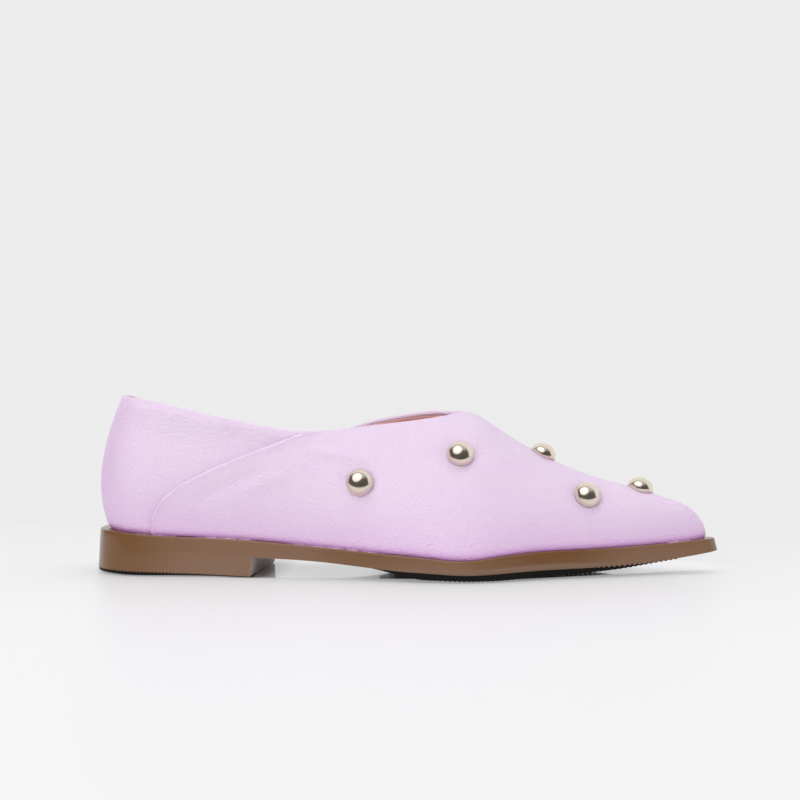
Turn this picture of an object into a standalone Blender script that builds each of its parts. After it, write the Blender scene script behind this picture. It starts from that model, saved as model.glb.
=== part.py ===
"""Right-foot pointed flat: a hollow leather upper on a moulded sole, with a sock inside and dome studs.

The tables are in millimetres and the meshes in metres. +X runs to the toe, +Y to the inner (medial)
side of the foot, -Y to the outer (lateral) side, and the floor is Z = 0.
"""

import math

import bmesh
import bpy
import numpy as np
from mathutils import Vector
from mathutils.bvhtree import BVHTree

MM = 0.001

# Driving sizes of the shoe
SHOE_LENGTH = 270.0
HEEL_BACK_X = -SHOE_LENGTH / 2
TOE_TIP_X = SHOE_LENGTH / 2
CENTRE_LINE_Y = 2.0  # heel centre to toe tip, so that the ball spreads evenly about Y = 0
GAP = 0.3  # between pieces that touch
LATERAL, MEDIAL = -1, 1

# The round back of the heel is a superellipse about this centre, and the toe tip a short ellipse
HEEL_CENTRE_X = -107.0
HEEL_SQUARENESS = 2.25
SOLE_TIP_ROUND = 5.0

# Upper: where it meets the sole, and its wall
UPPER_SIDE_INSET = 2.2
UPPER_BACK_X = HEEL_BACK_X + 4.1
UPPER_TIP_X = TOE_TIP_X - 5.2
UPPER_TIP_ROUND = 8.0
WALL = 2.0
LAP = 0.8  # the front panel lies this much proud of the back panel
LAP_RUN = 0.8
THROAT_X = 23.6  # point of the V cut
TOE_CREST_X = 119.5  # front end of the vamp's crest

# Stations run along the shoe: plain x between the heel centre and the toe, and turns round the ends
STATION_BACK = -140.0
STATION_FRONT = 136.0

# Sole and heel
BREAST_X = -63.2
BREAST_SKEW = 0.05  # the heel's front face runs forward towards the medial side
BREAST_DRAFT = 0.6

# Sock
SOCK_THICKNESS = 3.0
SOCK_CLEARANCE = 0.6

# Studs
STUD_RADIUS = 5.7
STUD_HEIGHT = 5.3
STUD_SIDES = 18
STUD_RINGS = 5

# Sole outline from the centre line, and the height of its upper rim
SOLE_TABLE = {
    "columns": ("x", "lateral", "medial", "top"),
    "rows": [
        (-135.0, 26.0, 25.5, 19.0),
        (-107.0, 26.5, 26.0, 17.5),
        (-85.0, 26.8, 25.6, 16.6),
        (-64.0, 27.5, 24.4, 15.6),
        (-45.0, 29.2, 23.0, 14.1),
        (-25.0, 33.0, 23.6, 12.6),
        (-5.0, 38.0, 27.6, 11.2),
        (12.0, 41.2, 32.6, 10.0),
        (26.0, 42.0, 36.6, 9.1),
        (40.0, 38.4, 38.0, 10.5),
        (55.0, 31.6, 34.2, 11.7),
        (75.0, 23.8, 26.0, 12.1),
        (95.0, 16.6, 17.8, 12.7),
        (115.0, 9.8, 10.4, 13.8),
        (128.0, 5.9, 6.1, 14.9),
        (135.0, 4.0, 4.1, 15.4),
    ],
}

# Under the heel: lower rim of the side, tread, and width of the bevel between them
HEEL_TABLE = {
    "columns": ("x", "edge", "tread", "bevel"),
    "rows": [
        (-135.0, 2.3, 1.0, 6.0),
        (-118.0, 2.1, 0.3, 6.0),
        (-105.0, 1.8, 0.0, 5.5),
        (-85.0, 1.3, 0.0, 4.5),
        (-62.0, 0.3, 0.0, 1.5),
    ],
}
FLAT_HEEL_X = -105.0

# The same from the heel's front face, along the waist and the ball, to the toe
UNDERSIDE_TABLE = {
    "columns": ("x", "edge", "tread", "bevel"),
    "rows": [
        (-63.0, 8.4, 8.0, 3.0),
        (-40.0, 7.6, 7.0, 6.0),
        (-20.0, 6.1, 5.0, 14.0),
        (-9.0, 5.1, 2.4, 18.0),
        (0.0, 4.4, 0.0, 14.0),
        (10.0, 4.0, 0.0, 8.5),
        (24.0, 3.3, 0.0, 6.0),
        (42.0, 3.7, 0.0, 6.0),
        (58.0, 4.2, 0.7, 5.5),
        (80.0, 4.5, 2.0, 4.5),
        (90.0, 4.8, 2.9, 4.0),
        (100.0, 5.4, 4.3, 3.5),
        (111.0, 6.5, 6.0, 3.0),
        (122.0, 7.9, 7.5, 2.0),
        (135.0, 10.0, 9.7, 1.0),
    ],
}
FLAT_FOREFOOT = (0.0, 42.0)

# Crest of the last from the cone down the instep to the toe
CREST_TABLE = {
    "columns": ("x", "y", "z"),
    "rows": [
        (-119.5, 0.0, 92.0),
        (-85.0, 0.0, 90.0),
        (-60.0, 0.6, 86.5),
        (-35.0, 2.0, 80.0),
        (-15.0, 3.2, 74.6),
        (5.0, 4.0, 71.9),
        (16.0, 4.1, 70.8),
        (24.0, 4.1, 69.4),
        (28.5, 4.0, 68.6),
        (33.0, 3.9, 66.5),
        (38.0, 3.7, 63.2),
        (45.0, 3.4, 58.5),
        (54.0, 3.0, 53.3),
        (65.0, 2.5, 47.6),
        (74.0, 2.0, 43.6),
        (88.0, 1.4, 39.0),
        (98.0, 1.0, 36.4),
        (108.0, 0.5, 33.2),
        (119.5, 0.0, 28.9),
    ],
}

# Cross-sections: lean of the wall at the sole, grip of its curve there and at the crest,
# fall of the surface at the crest, and half the gap between the two sides at the cone
SECTION_TABLE = {
    "columns": ("station", "lateral_lean", "medial_lean", "foot_grip", "crest_grip", "fall", "cone"),
    "rows": [
        (-140.0, 24.0, 24.0, 27.0, 22.0, 68.0, 0.0),
        (-124.0, 20.0, 20.0, 27.0, 21.0, 67.0, 9.0),
        (-107.0, 15.0, 15.0, 25.5, 20.0, 67.0, 13.0),
        (-85.0, 14.0, 14.0, 21.5, 20.0, 62.0, 14.5),
        (-60.0, 12.0, 15.0, 20.0, 21.0, 54.0, 13.5),
        (-35.0, 10.0, 15.0, 20.0, 22.0, 30.0, 7.0),
        (-15.0, 8.0, 14.0, 20.0, 23.5, 8.0, 1.0),
        (5.0, 5.0, 10.0, 14.5, 21.5, 4.0, 0.0),
        (24.0, 4.0, 7.0, 10.5, 18.5, 4.0, 0.0),
        (45.0, 3.0, 4.0, 9.5, 16.5, 4.0, 0.0),
        (65.0, 3.0, 3.0, 9.0, 14.5, 3.0, 0.0),
        (88.0, 2.0, 2.0, 8.0, 11.0, 2.0, 0.0),
        (108.0, 1.0, 1.0, 8.0, 8.0, 0.0, 0.0),
        (119.5, 0.0, 0.0, 7.5, 6.0, 0.0, 0.0),
        (136.0, 0.0, 0.0, 7.0, 6.0, 25.0, 0.0),
    ],
}

# Height of the collar's edge, from the back of the heel down to the dip and up to the throat
COLLAR_TABLE = {
    "columns": ("x", "lateral", "medial"),
    "rows": [
        (-126.0, 77.4, 77.4),
        (-121.0, 76.8, 75.0),
        (-115.0, 75.9, 73.5),
        (-105.0, 73.9, 71.3),
        (-83.0, 68.9, 66.2),
        (-62.0, 64.6, 61.8),
        (-45.0, 61.9, 60.0),
        (-34.0, 62.1, 60.2),
        (-27.0, 62.7, 62.2),
        (-20.0, 63.6, 64.7),
        (-8.0, 65.0, 67.6),
        (6.0, 66.7, 69.9),
        (16.0, 68.2, 70.5),
        (23.6, 69.4, 69.4),
    ],
}

# Seam of the front panel, drawn on the side elevation as one cubic curve
SEAM_CURVE = ((-108.0, 17.0), (-108.0, 36.0), (-97.3, 40.8), (-41.2, 62.0))

# Studs: station along the shoe, side, and share of the way up the section
STUD_TABLE = {
    "columns": ("name", "station", "side", "rise"),
    "rows": [
        ("stud_lateral_rear", -17.8, LATERAL, 0.539),
        ("stud_lateral_middle", 23.7, LATERAL, 0.610),
        ("stud_lateral_front", 77.7, LATERAL, 0.598),
        ("stud_crest_rear", 59.7, MEDIAL, 0.956),
        ("stud_crest_front", 102.2, MEDIAL, 0.920),
        ("stud_medial_rear", -17.8, MEDIAL, 0.539),
        ("stud_medial_middle", 23.7, MEDIAL, 0.610),
        ("stud_medial_front", 77.7, MEDIAL, 0.598),
    ],
}

# Mesh counts
BACK_LINES = 9
QUARTER_LINES = 10
VAMP_LINES = 14
TOE_LINES = 6
HEIGHT_ROWS = 10

# Finishes: base colour, roughness, metallic
LEATHER = ("lilac_leather", (0.70, 0.47, 0.75), 0.45, 0.0)
RUBBER = ("brown_rubber", (0.23, 0.13, 0.08), 0.40, 0.0)
SOCK_LEATHER = ("salmon_lining", (0.60, 0.30, 0.25), 0.60, 0.0)
PALE_GOLD = ("pale_gold_metal", (0.80, 0.72, 0.58), 0.12, 1.0)


def curve_through(knots, values, flat_start=False, flat_end=False):
    """A cubic spline as a function; a flat end has no slope there, any other end no curvature."""
    knots = np.array(knots, float)
    values = np.array(values, float)
    count = len(knots)
    step = np.diff(knots)
    rise = np.diff(values) / step
    system = np.zeros((count, count))
    right = np.zeros(count)
    for i in range(1, count - 1):
        system[i, i - 1 : i + 2] = step[i - 1], 2 * (step[i - 1] + step[i]), step[i]
        right[i] = 6 * (rise[i] - rise[i - 1])
    system[0, 0] = system[-1, -1] = 1.0
    if flat_start:
        system[0, :2] = 2 * step[0], step[0]
        right[0] = 6 * rise[0]
    if flat_end:
        system[-1, -2:] = step[-1], 2 * step[-1]
        right[-1] = -6 * rise[-1]
    bend = np.linalg.solve(system, right)

    def at(t):
        t = min(max(t, knots[0]), knots[-1])
        i = min(int(np.searchsorted(knots, t, side="right")) - 1, count - 2)
        a = knots[i + 1] - t
        b = t - knots[i]
        h = step[i]
        return (
            (bend[i] * a**3 + bend[i + 1] * b**3) / (6 * h)
            + (values[i] / h - bend[i] * h / 6) * a
            + (values[i + 1] / h - bend[i + 1] * h / 6) * b
        )

    return at


def column(table, name, flat_start=False, flat_end=False):
    """One named column of a table as a smooth function of the table's first column."""
    place = table["columns"].index(name)
    knots = [row[0] for row in table["rows"]]
    values = [row[place] for row in table["rows"]]
    return curve_through(knots, values, flat_start, flat_end)


SOLE_HALF = {LATERAL: column(SOLE_TABLE, "lateral"), MEDIAL: column(SOLE_TABLE, "medial")}
SOLE_TOP = column(SOLE_TABLE, "top", flat_start=True)
HEEL_UNDER = {name: column(HEEL_TABLE, name) for name in ("edge", "tread", "bevel")}
FORE_UNDER = {name: column(UNDERSIDE_TABLE, name) for name in ("edge", "tread", "bevel")}
CREST_Y = column(CREST_TABLE, "y")
CREST_Z = column(CREST_TABLE, "z")
WALL_LEAN = {
    LATERAL: column(SECTION_TABLE, "lateral_lean", True, True),
    MEDIAL: column(SECTION_TABLE, "medial_lean", True, True),
}
FOOT_GRIP = column(SECTION_TABLE, "foot_grip", True, True)
CREST_GRIP = column(SECTION_TABLE, "crest_grip", True, True)
CREST_FALL = column(SECTION_TABLE, "fall", True)
CONE_HALF = column(SECTION_TABLE, "cone")
COLLAR_Z = {LATERAL: column(COLLAR_TABLE, "lateral", True), MEDIAL: column(COLLAR_TABLE, "medial", True)}


def outline_x(station, back, tip, tip_round):
    """The x of a station on an outline that ends at back and tip."""
    if station < HEEL_CENTRE_X:
        turn = math.pi / 2 * (station - STATION_BACK) / (HEEL_CENTRE_X - STATION_BACK)
        run = max(math.cos(turn), 0.0) ** (2 / HEEL_SQUARENESS)
        return HEEL_CENTRE_X - (HEEL_CENTRE_X - back) * run
    tip_start = tip - tip_round
    if station > tip_start:
        turn = math.pi / 2 * (station - tip_start) / (STATION_FRONT - tip_start)
        return tip_start + tip_round * math.sin(turn)
    return station


def outline_half(x, side, inset, back, tip, tip_round):
    """Half the outline's width at x, from the centre line to one side."""
    half = SOLE_HALF[side](x) - inset
    if x < HEEL_CENTRE_X:
        run = min((HEEL_CENTRE_X - x) / (HEEL_CENTRE_X - back), 1.0)
        return half * (1 - run**HEEL_SQUARENESS) ** (1 / HEEL_SQUARENESS)
    run = min(max((x - (tip - tip_round)) / tip_round, 0.0), 1.0)
    return half * math.sqrt(1 - run**2)


def outline_point(station, side, inset, back, tip, tip_round):
    x = outline_x(station, back, tip, tip_round)
    return np.array((x, side * outline_half(x, side, inset, back, tip, tip_round)))


def foot_point(station, side):
    """Where the upper's outer face meets the sole, in plan."""
    return outline_point(station, side, UPPER_SIDE_INSET, UPPER_BACK_X, UPPER_TIP_X, UPPER_TIP_ROUND)


def foot_normal(station, side):
    """The outward direction of that line, in plan."""
    if station <= STATION_BACK:
        return np.array((-1.0, 0.0))
    if station >= STATION_FRONT:
        return np.array((1.0, 0.0))
    nudge = 0.05
    ahead = foot_point(min(station + nudge, STATION_FRONT), side)
    behind = foot_point(max(station - nudge, STATION_BACK), side)
    run = ahead - behind
    outward = np.array((-run[1], run[0])) * side
    return outward / np.linalg.norm(outward)


def crest_x(station):
    """The x at which a station's section ends on the crest."""
    back_x = CREST_TABLE["rows"][0][0]
    if station < HEEL_CENTRE_X:
        share = (station - STATION_BACK) / (HEEL_CENTRE_X - STATION_BACK)
        return back_x + (HEEL_CENTRE_X + 2.0 - back_x) * share**2
    if station < -60.0:
        return station + 2.0 * (station + 60.0) / (HEEL_CENTRE_X + 60.0)
    return min(station, TOE_CREST_X)


def section_handles(station, side):
    """The four control points of a section, from the sole to the crest."""
    foot = foot_point(station, side)
    foot_z = SOLE_TOP(foot[0]) + GAP
    outward = foot_normal(station, side)
    lean = math.radians(WALL_LEAN[side](station))
    grip = FOOT_GRIP(station)
    low = np.array((*foot, foot_z))
    rise = grip * np.array((*(outward * math.sin(lean)), math.cos(lean)))

    top_x = crest_x(station)
    top = np.array((top_x, CREST_Y(top_x) + side * CONE_HALF(station), CREST_Z(top_x)))
    if station <= HEEL_CENTRE_X:
        across = outward
    elif station > TOE_CREST_X:
        across = (foot - top[:2]) / np.linalg.norm(foot - top[:2])
    else:
        across = np.array((0.0, float(side)))
    fall = math.radians(CREST_FALL(station))
    if station > TOE_CREST_X:
        front_fall = math.radians(SECTION_TABLE["rows"][-1][5])
        fall = math.atan(math.tan(front_fall) * across[0])
    reach = CREST_GRIP(station) * np.array((*(across * math.cos(fall)), -math.sin(fall)))
    return low, low + rise, top + reach, top


def last_point(station, share, side):
    """A point of the last: share runs from 0 at the sole to 1 at the crest."""
    a, b, c, d = section_handles(station, side)
    rest = 1 - share
    return rest**3 * a + 3 * rest**2 * share * b + 3 * rest * share**2 * c + share**3 * d


def collar_share(station, side):
    """How far up its section the upper reaches: to the collar's edge, or all the way to the crest."""
    if station >= THROAT_X:
        return 1.0
    low, high = 0.3, 1.0
    for _ in range(30):
        middle = (low + high) / 2
        x, _, z = last_point(station, middle, side)
        if z > COLLAR_Z[side](x):
            high = middle
        else:
            low = middle
    return (low + high) / 2


def upper_point(station, rise, side):
    """A point of the upper: rise runs from 0 at the sole to 1 at the collar or the crest."""
    return last_point(station, rise * collar_share(station, side), side)


def upper_normal(station, rise, side):
    """The outward direction of the upper there."""
    step, lift = 0.4, 0.02
    low, high = max(rise - lift, 0.0), min(rise + lift, 1.0)
    along = upper_point(station + step, rise, side) - upper_point(station - step, rise, side)
    up = upper_point(station, high, side) - upper_point(station, low, side)
    if rise >= 1.0 and station >= THROAT_X:
        up = upper_point(station, 1 - lift, -side) - upper_point(station, 1 - lift, side)
    outward = np.cross(along, up) * -side
    return outward / np.linalg.norm(outward)


def seam_x(z):
    """The x of the front panel's seam at a height."""
    shares = np.linspace(0, 1, 200)[:, None]
    a, b, c, d = (np.array(p) for p in SEAM_CURVE)
    rest = 1 - shares
    line = rest**3 * a + 3 * rest**2 * shares * b + 3 * rest * shares**2 * c + shares**3 * d
    return float(np.interp(z, line[:, 1], line[:, 0]))


def seam_station(rise, side):
    """The station where the seam crosses one height row of the upper."""
    low, high = STATION_BACK + 1.0, 0.0
    for _ in range(30):
        middle = (low + high) / 2
        x, _, z = upper_point(middle, rise, side)
        if x > seam_x(z):
            high = middle
        else:
            low = middle
    return (low + high) / 2


def upper_lines(rise, side):
    """The stations of one height row, and how proud of the last each one lies."""
    seam = seam_station(rise, side)
    stations = list(np.linspace(STATION_BACK, seam, BACK_LINES + 1))
    proud = [0.0] * len(stations)
    ahead = list(np.linspace(seam + LAP_RUN, THROAT_X, QUARTER_LINES + 1))
    ahead += list(np.linspace(THROAT_X, TOE_CREST_X, VAMP_LINES + 1))[1:]
    ahead += list(np.linspace(TOE_CREST_X, STATION_FRONT, TOE_LINES + 1))[1:]
    return stations + ahead, proud + [LAP] * len(ahead)


THROAT_LINE = BACK_LINES + 1 + QUARTER_LINES
POLE_LINE = THROAT_LINE + VAMP_LINES
FRONT_LINE = POLE_LINE + TOE_LINES


def upper_key(side, line, row):
    """One name for each vertex that the two sides, or several lines at the toe, share."""
    if row == HEIGHT_ROWS and line >= POLE_LINE:
        return (0, POLE_LINE, row)
    if line in (0, FRONT_LINE) or (row == HEIGHT_ROWS and line >= THROAT_LINE):
        return (0, line, row)
    return (side, line, row)


def upper_sheet():
    """The last's surface under the upper: points, how proud each lies, outward faces, and the foot row."""
    points, proud, foot, index = [], [], [], {}
    for side in (LATERAL, MEDIAL):
        for row in range(HEIGHT_ROWS + 1):
            rise = row / HEIGHT_ROWS
            stations, laps = upper_lines(rise, side)
            for line, (station, lap) in enumerate(zip(stations, laps)):
                key = upper_key(side, line, row)
                if key in index:
                    continue
                index[key] = len(points)
                points.append(upper_point(station, rise, side))
                proud.append(lap)
                foot.append(row == 0)
    faces = []
    for side in (LATERAL, MEDIAL):
        for line in range(FRONT_LINE):
            for row in range(HEIGHT_ROWS):
                corners = [(line, row), (line + 1, row), (line + 1, row + 1), (line, row + 1)]
                face = [index[upper_key(side, *corner)] for corner in corners]
                face = list(dict.fromkeys(face if side == LATERAL else face[::-1]))
                faces += [[face[0], face[i], face[i + 1]] for i in range(1, len(face) - 1)]
    return np.array(points), np.array(proud), np.array(foot), faces


def sheet_normals(points, faces):
    """Vertex normals of the sheet, and its open edges in the direction of their faces."""
    sheet = bmesh.new()
    corners = [sheet.verts.new(p) for p in points]
    for face in faces:
        sheet.faces.new([corners[i] for i in face])
    sheet.normal_update()
    sheet.verts.index_update()
    normals = np.array([v.normal for v in corners])
    rims = []
    for edge in sheet.edges:
        if edge.is_boundary:
            loop = edge.link_loops[0]
            rims.append((loop.vert.index, loop.link_loop_next.vert.index))
    sheet.free()
    return normals, rims


def upper_mesh():
    """The upper's wall: outer face, inner face, and the rims at the collar and at the sole."""
    points, proud, foot, faces = upper_sheet()
    normals, rims = sheet_normals(points, faces)
    outer = points + normals * proud[:, None]
    inner = points - normals * WALL
    for shell in (outer, inner):
        for i in np.nonzero(foot)[0]:
            shell[i, 2] = SOLE_TOP(shell[i, 0]) + GAP
    count = len(points)
    shell_faces = [list(face) for face in faces]
    shell_faces += [[i + count for i in reversed(face)] for face in faces]
    shell_faces += [[b, a, a + count, b + count] for a, b in rims]
    return np.vstack((outer, inner)), shell_faces


def sole_stations():
    """Stations of the sole, with the pair at the heel's front face, and the skew of that pair."""
    heel = [STATION_BACK + 1.4 + i * (HEEL_CENTRE_X - STATION_BACK - 1.4) / 8 for i in range(9)]
    heel += [FLAT_HEEL_X, -95.0, -85.0, -75.0]
    fore = [-55.0, -45.0, -35.0, -27.0, -20.0, -14.0, -9.0, -4.0]
    fore += [FLAT_FOREFOOT[0], 7.0, 14.0, 21.0, 28.0, 35.0, FLAT_FOREFOOT[1]]
    fore += [50.0, 58.0, 66.0, 75.0, 84.0, 93.0, 102.0, 111.0, 120.0, 126.0]
    tip = [130.0, 131.5, 133.0, 134.3, 135.3]
    plain = [(s, False, True) for s in heel]
    plain += [(BREAST_X, True, True), (BREAST_X + BREAST_DRAFT, True, False)]
    plain += [(s, False, False) for s in fore + tip]
    return plain


def sole_ring(station, skewed, on_heel):
    """One closed cross-section of the sole: across the top, down the medial side and back underneath."""
    x = outline_x(station, HEEL_BACK_X, TOE_TIP_X, SOLE_TIP_ROUND)
    half = {s: outline_half(x, s, 0.0, HEEL_BACK_X, TOE_TIP_X, SOLE_TIP_ROUND) for s in (LATERAL, MEDIAL)}
    top = SOLE_TOP(x)
    under = HEEL_UNDER if on_heel else FORE_UNDER
    edge, tread, bevel = (under[name](x) for name in ("edge", "tread", "bevel"))
    flat = x >= FLAT_HEEL_X if on_heel else FLAT_FOREFOOT[0] <= x <= FLAT_FOREFOOT[1]
    tread = 0.0 if flat else max(tread, 0.0)
    inner = {s: max(half[s] - bevel, 0.3 * half[s]) for s in half}
    ring = [
        (-half[LATERAL], top),
        (0.0, top),
        (half[MEDIAL], top),
        (half[MEDIAL], edge),
        (inner[MEDIAL], tread),
        (0.0, tread),
        (-inner[LATERAL], tread),
        (-half[LATERAL], edge),
    ]
    skew = BREAST_SKEW if skewed else 0.0
    return [(x + skew * y, y, z) for y, z in ring]


def loft(rings):
    """A closed solid through like rings, with flat ends."""
    size = len(rings[0])
    points = [p for ring in rings for p in ring]
    faces = [list(range(size))]
    for i in range(len(rings) - 1):
        for j in range(size):
            k = (j + 1) % size
            faces.append([i * size + j, (i + 1) * size + j, (i + 1) * size + k, i * size + k])
    faces.append([(len(rings) - 1) * size + j for j in range(size)])
    return np.array(points), faces


def sole_mesh():
    return loft([sole_ring(*station) for station in sole_stations()])


def sock_mesh():
    """The sock lies on the sole inside the upper's wall, with softly rounded upper edges."""
    inset = UPPER_SIDE_INSET + WALL + SOCK_CLEARANCE
    back = UPPER_BACK_X + WALL + SOCK_CLEARANCE
    tip = UPPER_TIP_X - WALL - SOCK_CLEARANCE
    heel = list(np.linspace(STATION_BACK + 2.0, HEEL_CENTRE_X, 8))
    body = list(np.linspace(HEEL_CENTRE_X, 118.0, 25))[1:]
    toe = [121.0, 125.0, 129.0, 132.5]
    rings = []
    for station in heel + body + toe:
        x = outline_x(station, back, tip, UPPER_TIP_ROUND)
        half = {s: outline_half(x, s, inset, back, tip, UPPER_TIP_ROUND) for s in (LATERAL, MEDIAL)}
        low = SOLE_TOP(x) + GAP
        high = low + SOCK_THICKNESS
        shoulder = SOCK_THICKNESS / 3
        ring = [
            (-half[LATERAL], low),
            (-half[LATERAL], high - shoulder),
            (-half[LATERAL] + min(shoulder, 0.4 * half[LATERAL]), high),
            (half[MEDIAL] - min(shoulder, 0.4 * half[MEDIAL]), high),
            (half[MEDIAL], high - shoulder),
            (half[MEDIAL], low),
        ]
        rings.append([(x, y, z) for y, z in ring])
    return loft(rings)


def stud_mesh(station, side, rise, leather):
    """A dome whose base follows the leather under it."""
    seat = upper_point(station, rise, side)
    axis = Vector(upper_normal(station, rise, side))
    across = axis.orthogonal().normalized()
    other = axis.cross(across)
    start = Vector(seat) + axis * (4 * STUD_RADIUS)

    def on_leather(radius, turn):
        sideways = across * (radius * math.cos(turn)) + other * (radius * math.sin(turn))
        hit = leather.ray_cast(start + sideways, -axis)
        return hit[0] + axis * GAP

    turns = [2 * math.pi * i / STUD_SIDES for i in range(STUD_SIDES)]
    centre = on_leather(0.0, 0.0)
    points = [centre]
    points += [on_leather(STUD_RADIUS / 2, turn) for turn in turns]
    points += [on_leather(STUD_RADIUS, turn) for turn in turns]
    for ring in range(1, STUD_RINGS):
        climb = math.pi / 2 * ring / STUD_RINGS
        radius = STUD_RADIUS * math.cos(climb)
        height = STUD_HEIGHT * math.sin(climb)
        for turn in turns:
            sideways = across * (radius * math.cos(turn)) + other * (radius * math.sin(turn))
            points.append(centre + sideways + axis * height)
    points.append(centre + axis * STUD_HEIGHT)
    apex = len(points) - 1
    faces = []
    rings = STUD_RINGS + 1
    for i in range(STUD_SIDES):
        j = (i + 1) % STUD_SIDES
        faces.append([0, 1 + j, 1 + i])
        for ring in range(rings - 1):
            low, high = 1 + ring * STUD_SIDES, 1 + (ring + 1) * STUD_SIDES
            faces.append([low + i, low + j, high + j, high + i])
        last = 1 + (rings - 1) * STUD_SIDES
        faces.append([last + i, last + j, apex])
    return np.array(points), faces


def finish(name, base_colour, roughness, metallic):
    """A plain finish, made once for each name."""
    found = bpy.data.materials.get(name)
    if found:
        return found
    made = bpy.data.materials.new(name)
    made.use_nodes = True
    shader = made.node_tree.nodes["Principled BSDF"]
    shader.inputs["Base Color"].default_value = (*base_colour, 1.0)
    shader.inputs["Roughness"].default_value = roughness
    shader.inputs["Metallic"].default_value = metallic
    return made


def add_piece(name, points, faces, look, frame, smooth_below=35.0):
    """One closed piece as a named object under the shoe's frame."""
    mesh = bpy.data.meshes.new(name)
    mesh.from_pydata([tuple(p * MM) for p in np.asarray(points)], [], faces)
    work = bmesh.new()
    work.from_mesh(mesh)
    bmesh.ops.recalc_face_normals(work, faces=work.faces)
    work.to_mesh(mesh)
    work.free()
    mesh.shade_smooth()
    mesh.set_sharp_from_angle(angle=math.radians(smooth_below))
    mesh.materials.append(finish(*look))
    piece = bpy.data.objects.new(name, mesh)
    bpy.context.scene.collection.objects.link(piece)
    piece.parent = frame
    return piece


def main():
    for old in list(bpy.data.objects):
        bpy.data.objects.remove(old)
    frame = bpy.data.objects.new("shoe_frame", None)
    frame.location = (0.0, CENTRE_LINE_Y * MM, 0.0)
    bpy.context.scene.collection.objects.link(frame)

    add_piece("outsole", *sole_mesh(), RUBBER, frame)
    add_piece("insole", *sock_mesh(), SOCK_LEATHER, frame)
    upper_points, upper_faces = upper_mesh()
    add_piece("upper", upper_points, upper_faces, LEATHER, frame, 50.0)
    leather = BVHTree.FromPolygons([tuple(p) for p in upper_points], upper_faces)
    for name, station, side, rise in STUD_TABLE["rows"]:
        add_piece(name, *stud_mesh(station, side, rise, leather), PALE_GOLD, frame)


main()
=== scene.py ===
"""Looks of the right-foot pointed flat: lilac leather, salmon lining, brown sole and polished dome studs.

Lengths are millimetres in the shoe's own lines, about its heel-to-toe centre line, until a mesh is made.
+X runs to the toe, +Y to the inner (medial) side, -Y to the outer (lateral) side, and the floor is Z = 0.
"""

import math

import bpy
import numpy as np
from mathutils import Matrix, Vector
from mathutils.bvhtree import BVHTree


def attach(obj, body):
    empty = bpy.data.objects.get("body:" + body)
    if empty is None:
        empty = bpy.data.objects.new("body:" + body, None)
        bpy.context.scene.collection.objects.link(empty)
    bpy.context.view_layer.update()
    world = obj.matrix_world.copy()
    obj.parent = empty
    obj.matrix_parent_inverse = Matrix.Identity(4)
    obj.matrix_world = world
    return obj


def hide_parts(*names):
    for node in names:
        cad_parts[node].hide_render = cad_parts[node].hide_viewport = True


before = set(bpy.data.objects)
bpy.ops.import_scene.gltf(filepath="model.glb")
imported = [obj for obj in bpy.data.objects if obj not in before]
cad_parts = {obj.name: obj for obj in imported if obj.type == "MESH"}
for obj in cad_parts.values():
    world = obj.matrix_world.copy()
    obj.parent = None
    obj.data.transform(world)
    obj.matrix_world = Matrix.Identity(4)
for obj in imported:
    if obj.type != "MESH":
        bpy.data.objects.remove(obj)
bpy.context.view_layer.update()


# Upper leather: a front panel of smooth lilac leather lapped over a back panel along a slanting seam on
# each side. The panels are closed over a last, folded in along the collar and the V cut, and tucked in
# where they meet the sole.
MM = 0.001
CENTRE_LINE_Y = 2.0
LATERAL, MEDIAL = -1, 1
SIDES = (LATERAL, MEDIAL)
HEEL_BACK_X = -135.0
TOE_TIP_X = 135.0
HEEL_CENTRE_X = -107.0
HEEL_SQUARENESS = 2.25
STATION_BACK = -140.0
STATION_FRONT = 136.0
CONE_FRONT_X = -60.0
CONE_STEP = 2.0
THROAT_X = 23.6
TOE_CREST_X = 119.5
UPPER_OUTLINE = {"inset": 2.2, "back": HEEL_BACK_X + 4.1, "tip": TOE_TIP_X - 5.2, "tip_round": 8.0}
WALL = 2.0
LINING_THICKNESS = 0.6
LINING_GAP = 0.05
LEATHER_THICKNESS = WALL - LINING_THICKNESS - LINING_GAP
LAP = 0.8
LAP_FOLD = 0.55
LAP_BEAD = {"height": 0.32, "place": 0.9, "width": 0.7}
LAP_PRESSED = 0.85
LAP_STANDS = (22.0, 46.0)
CREVICE = {"depth": 0.32, "width": 0.9}
FOLD_HEIGHT = 0.9
FOLD_THINNED = 0.25
FOLD_THINNING = 7.0
FOLD_ROWS = 9
TUCK_DEPTH = 0.7
TUCK_HEIGHT = 2.6
# Painted shade just above the sole, where the upper turns in: how high it reaches and how fast it fades
TUCK_SHADE_HEIGHT = 4.2
TUCK_SHADE_FALL = 1.6
# Painted sheen and shade on the leather: paler high up, deeper towards the sole and round the heel's back
# end
SHEEN_SHADE_SHARE = 0.55
SHEEN_SHADE_BACK = (-136.0, -112.0)
RIPPLE = {"height": 0.06, "run": 9.0, "shift": 0.7, "climb": 7.0, "drift": 31.0}
SEAT_GAP = 0.05

# Sole outline from the centre line, and the height of its upper rim
SOLE_TABLE = {
    "columns": ("x", "lateral", "medial", "top"),
    "rows": [
        (-135.0, 26.0, 25.5, 19.0),
        (-107.0, 26.5, 26.0, 17.5),
        (-85.0, 26.8, 25.6, 16.6),
        (-64.0, 27.5, 24.4, 15.6),
        (-45.0, 29.2, 23.0, 14.1),
        (-25.0, 33.0, 23.6, 12.6),
        (-5.0, 38.0, 27.6, 11.2),
        (12.0, 41.2, 32.6, 10.0),
        (26.0, 42.0, 36.6, 9.1),
        (40.0, 38.4, 38.0, 10.5),
        (55.0, 31.6, 34.2, 11.7),
        (75.0, 23.8, 26.0, 12.1),
        (95.0, 16.6, 17.8, 12.7),
        (115.0, 9.8, 10.4, 13.8),
        (128.0, 5.9, 6.1, 14.9),
        (135.0, 4.0, 4.1, 15.4),
    ],
}

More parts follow.
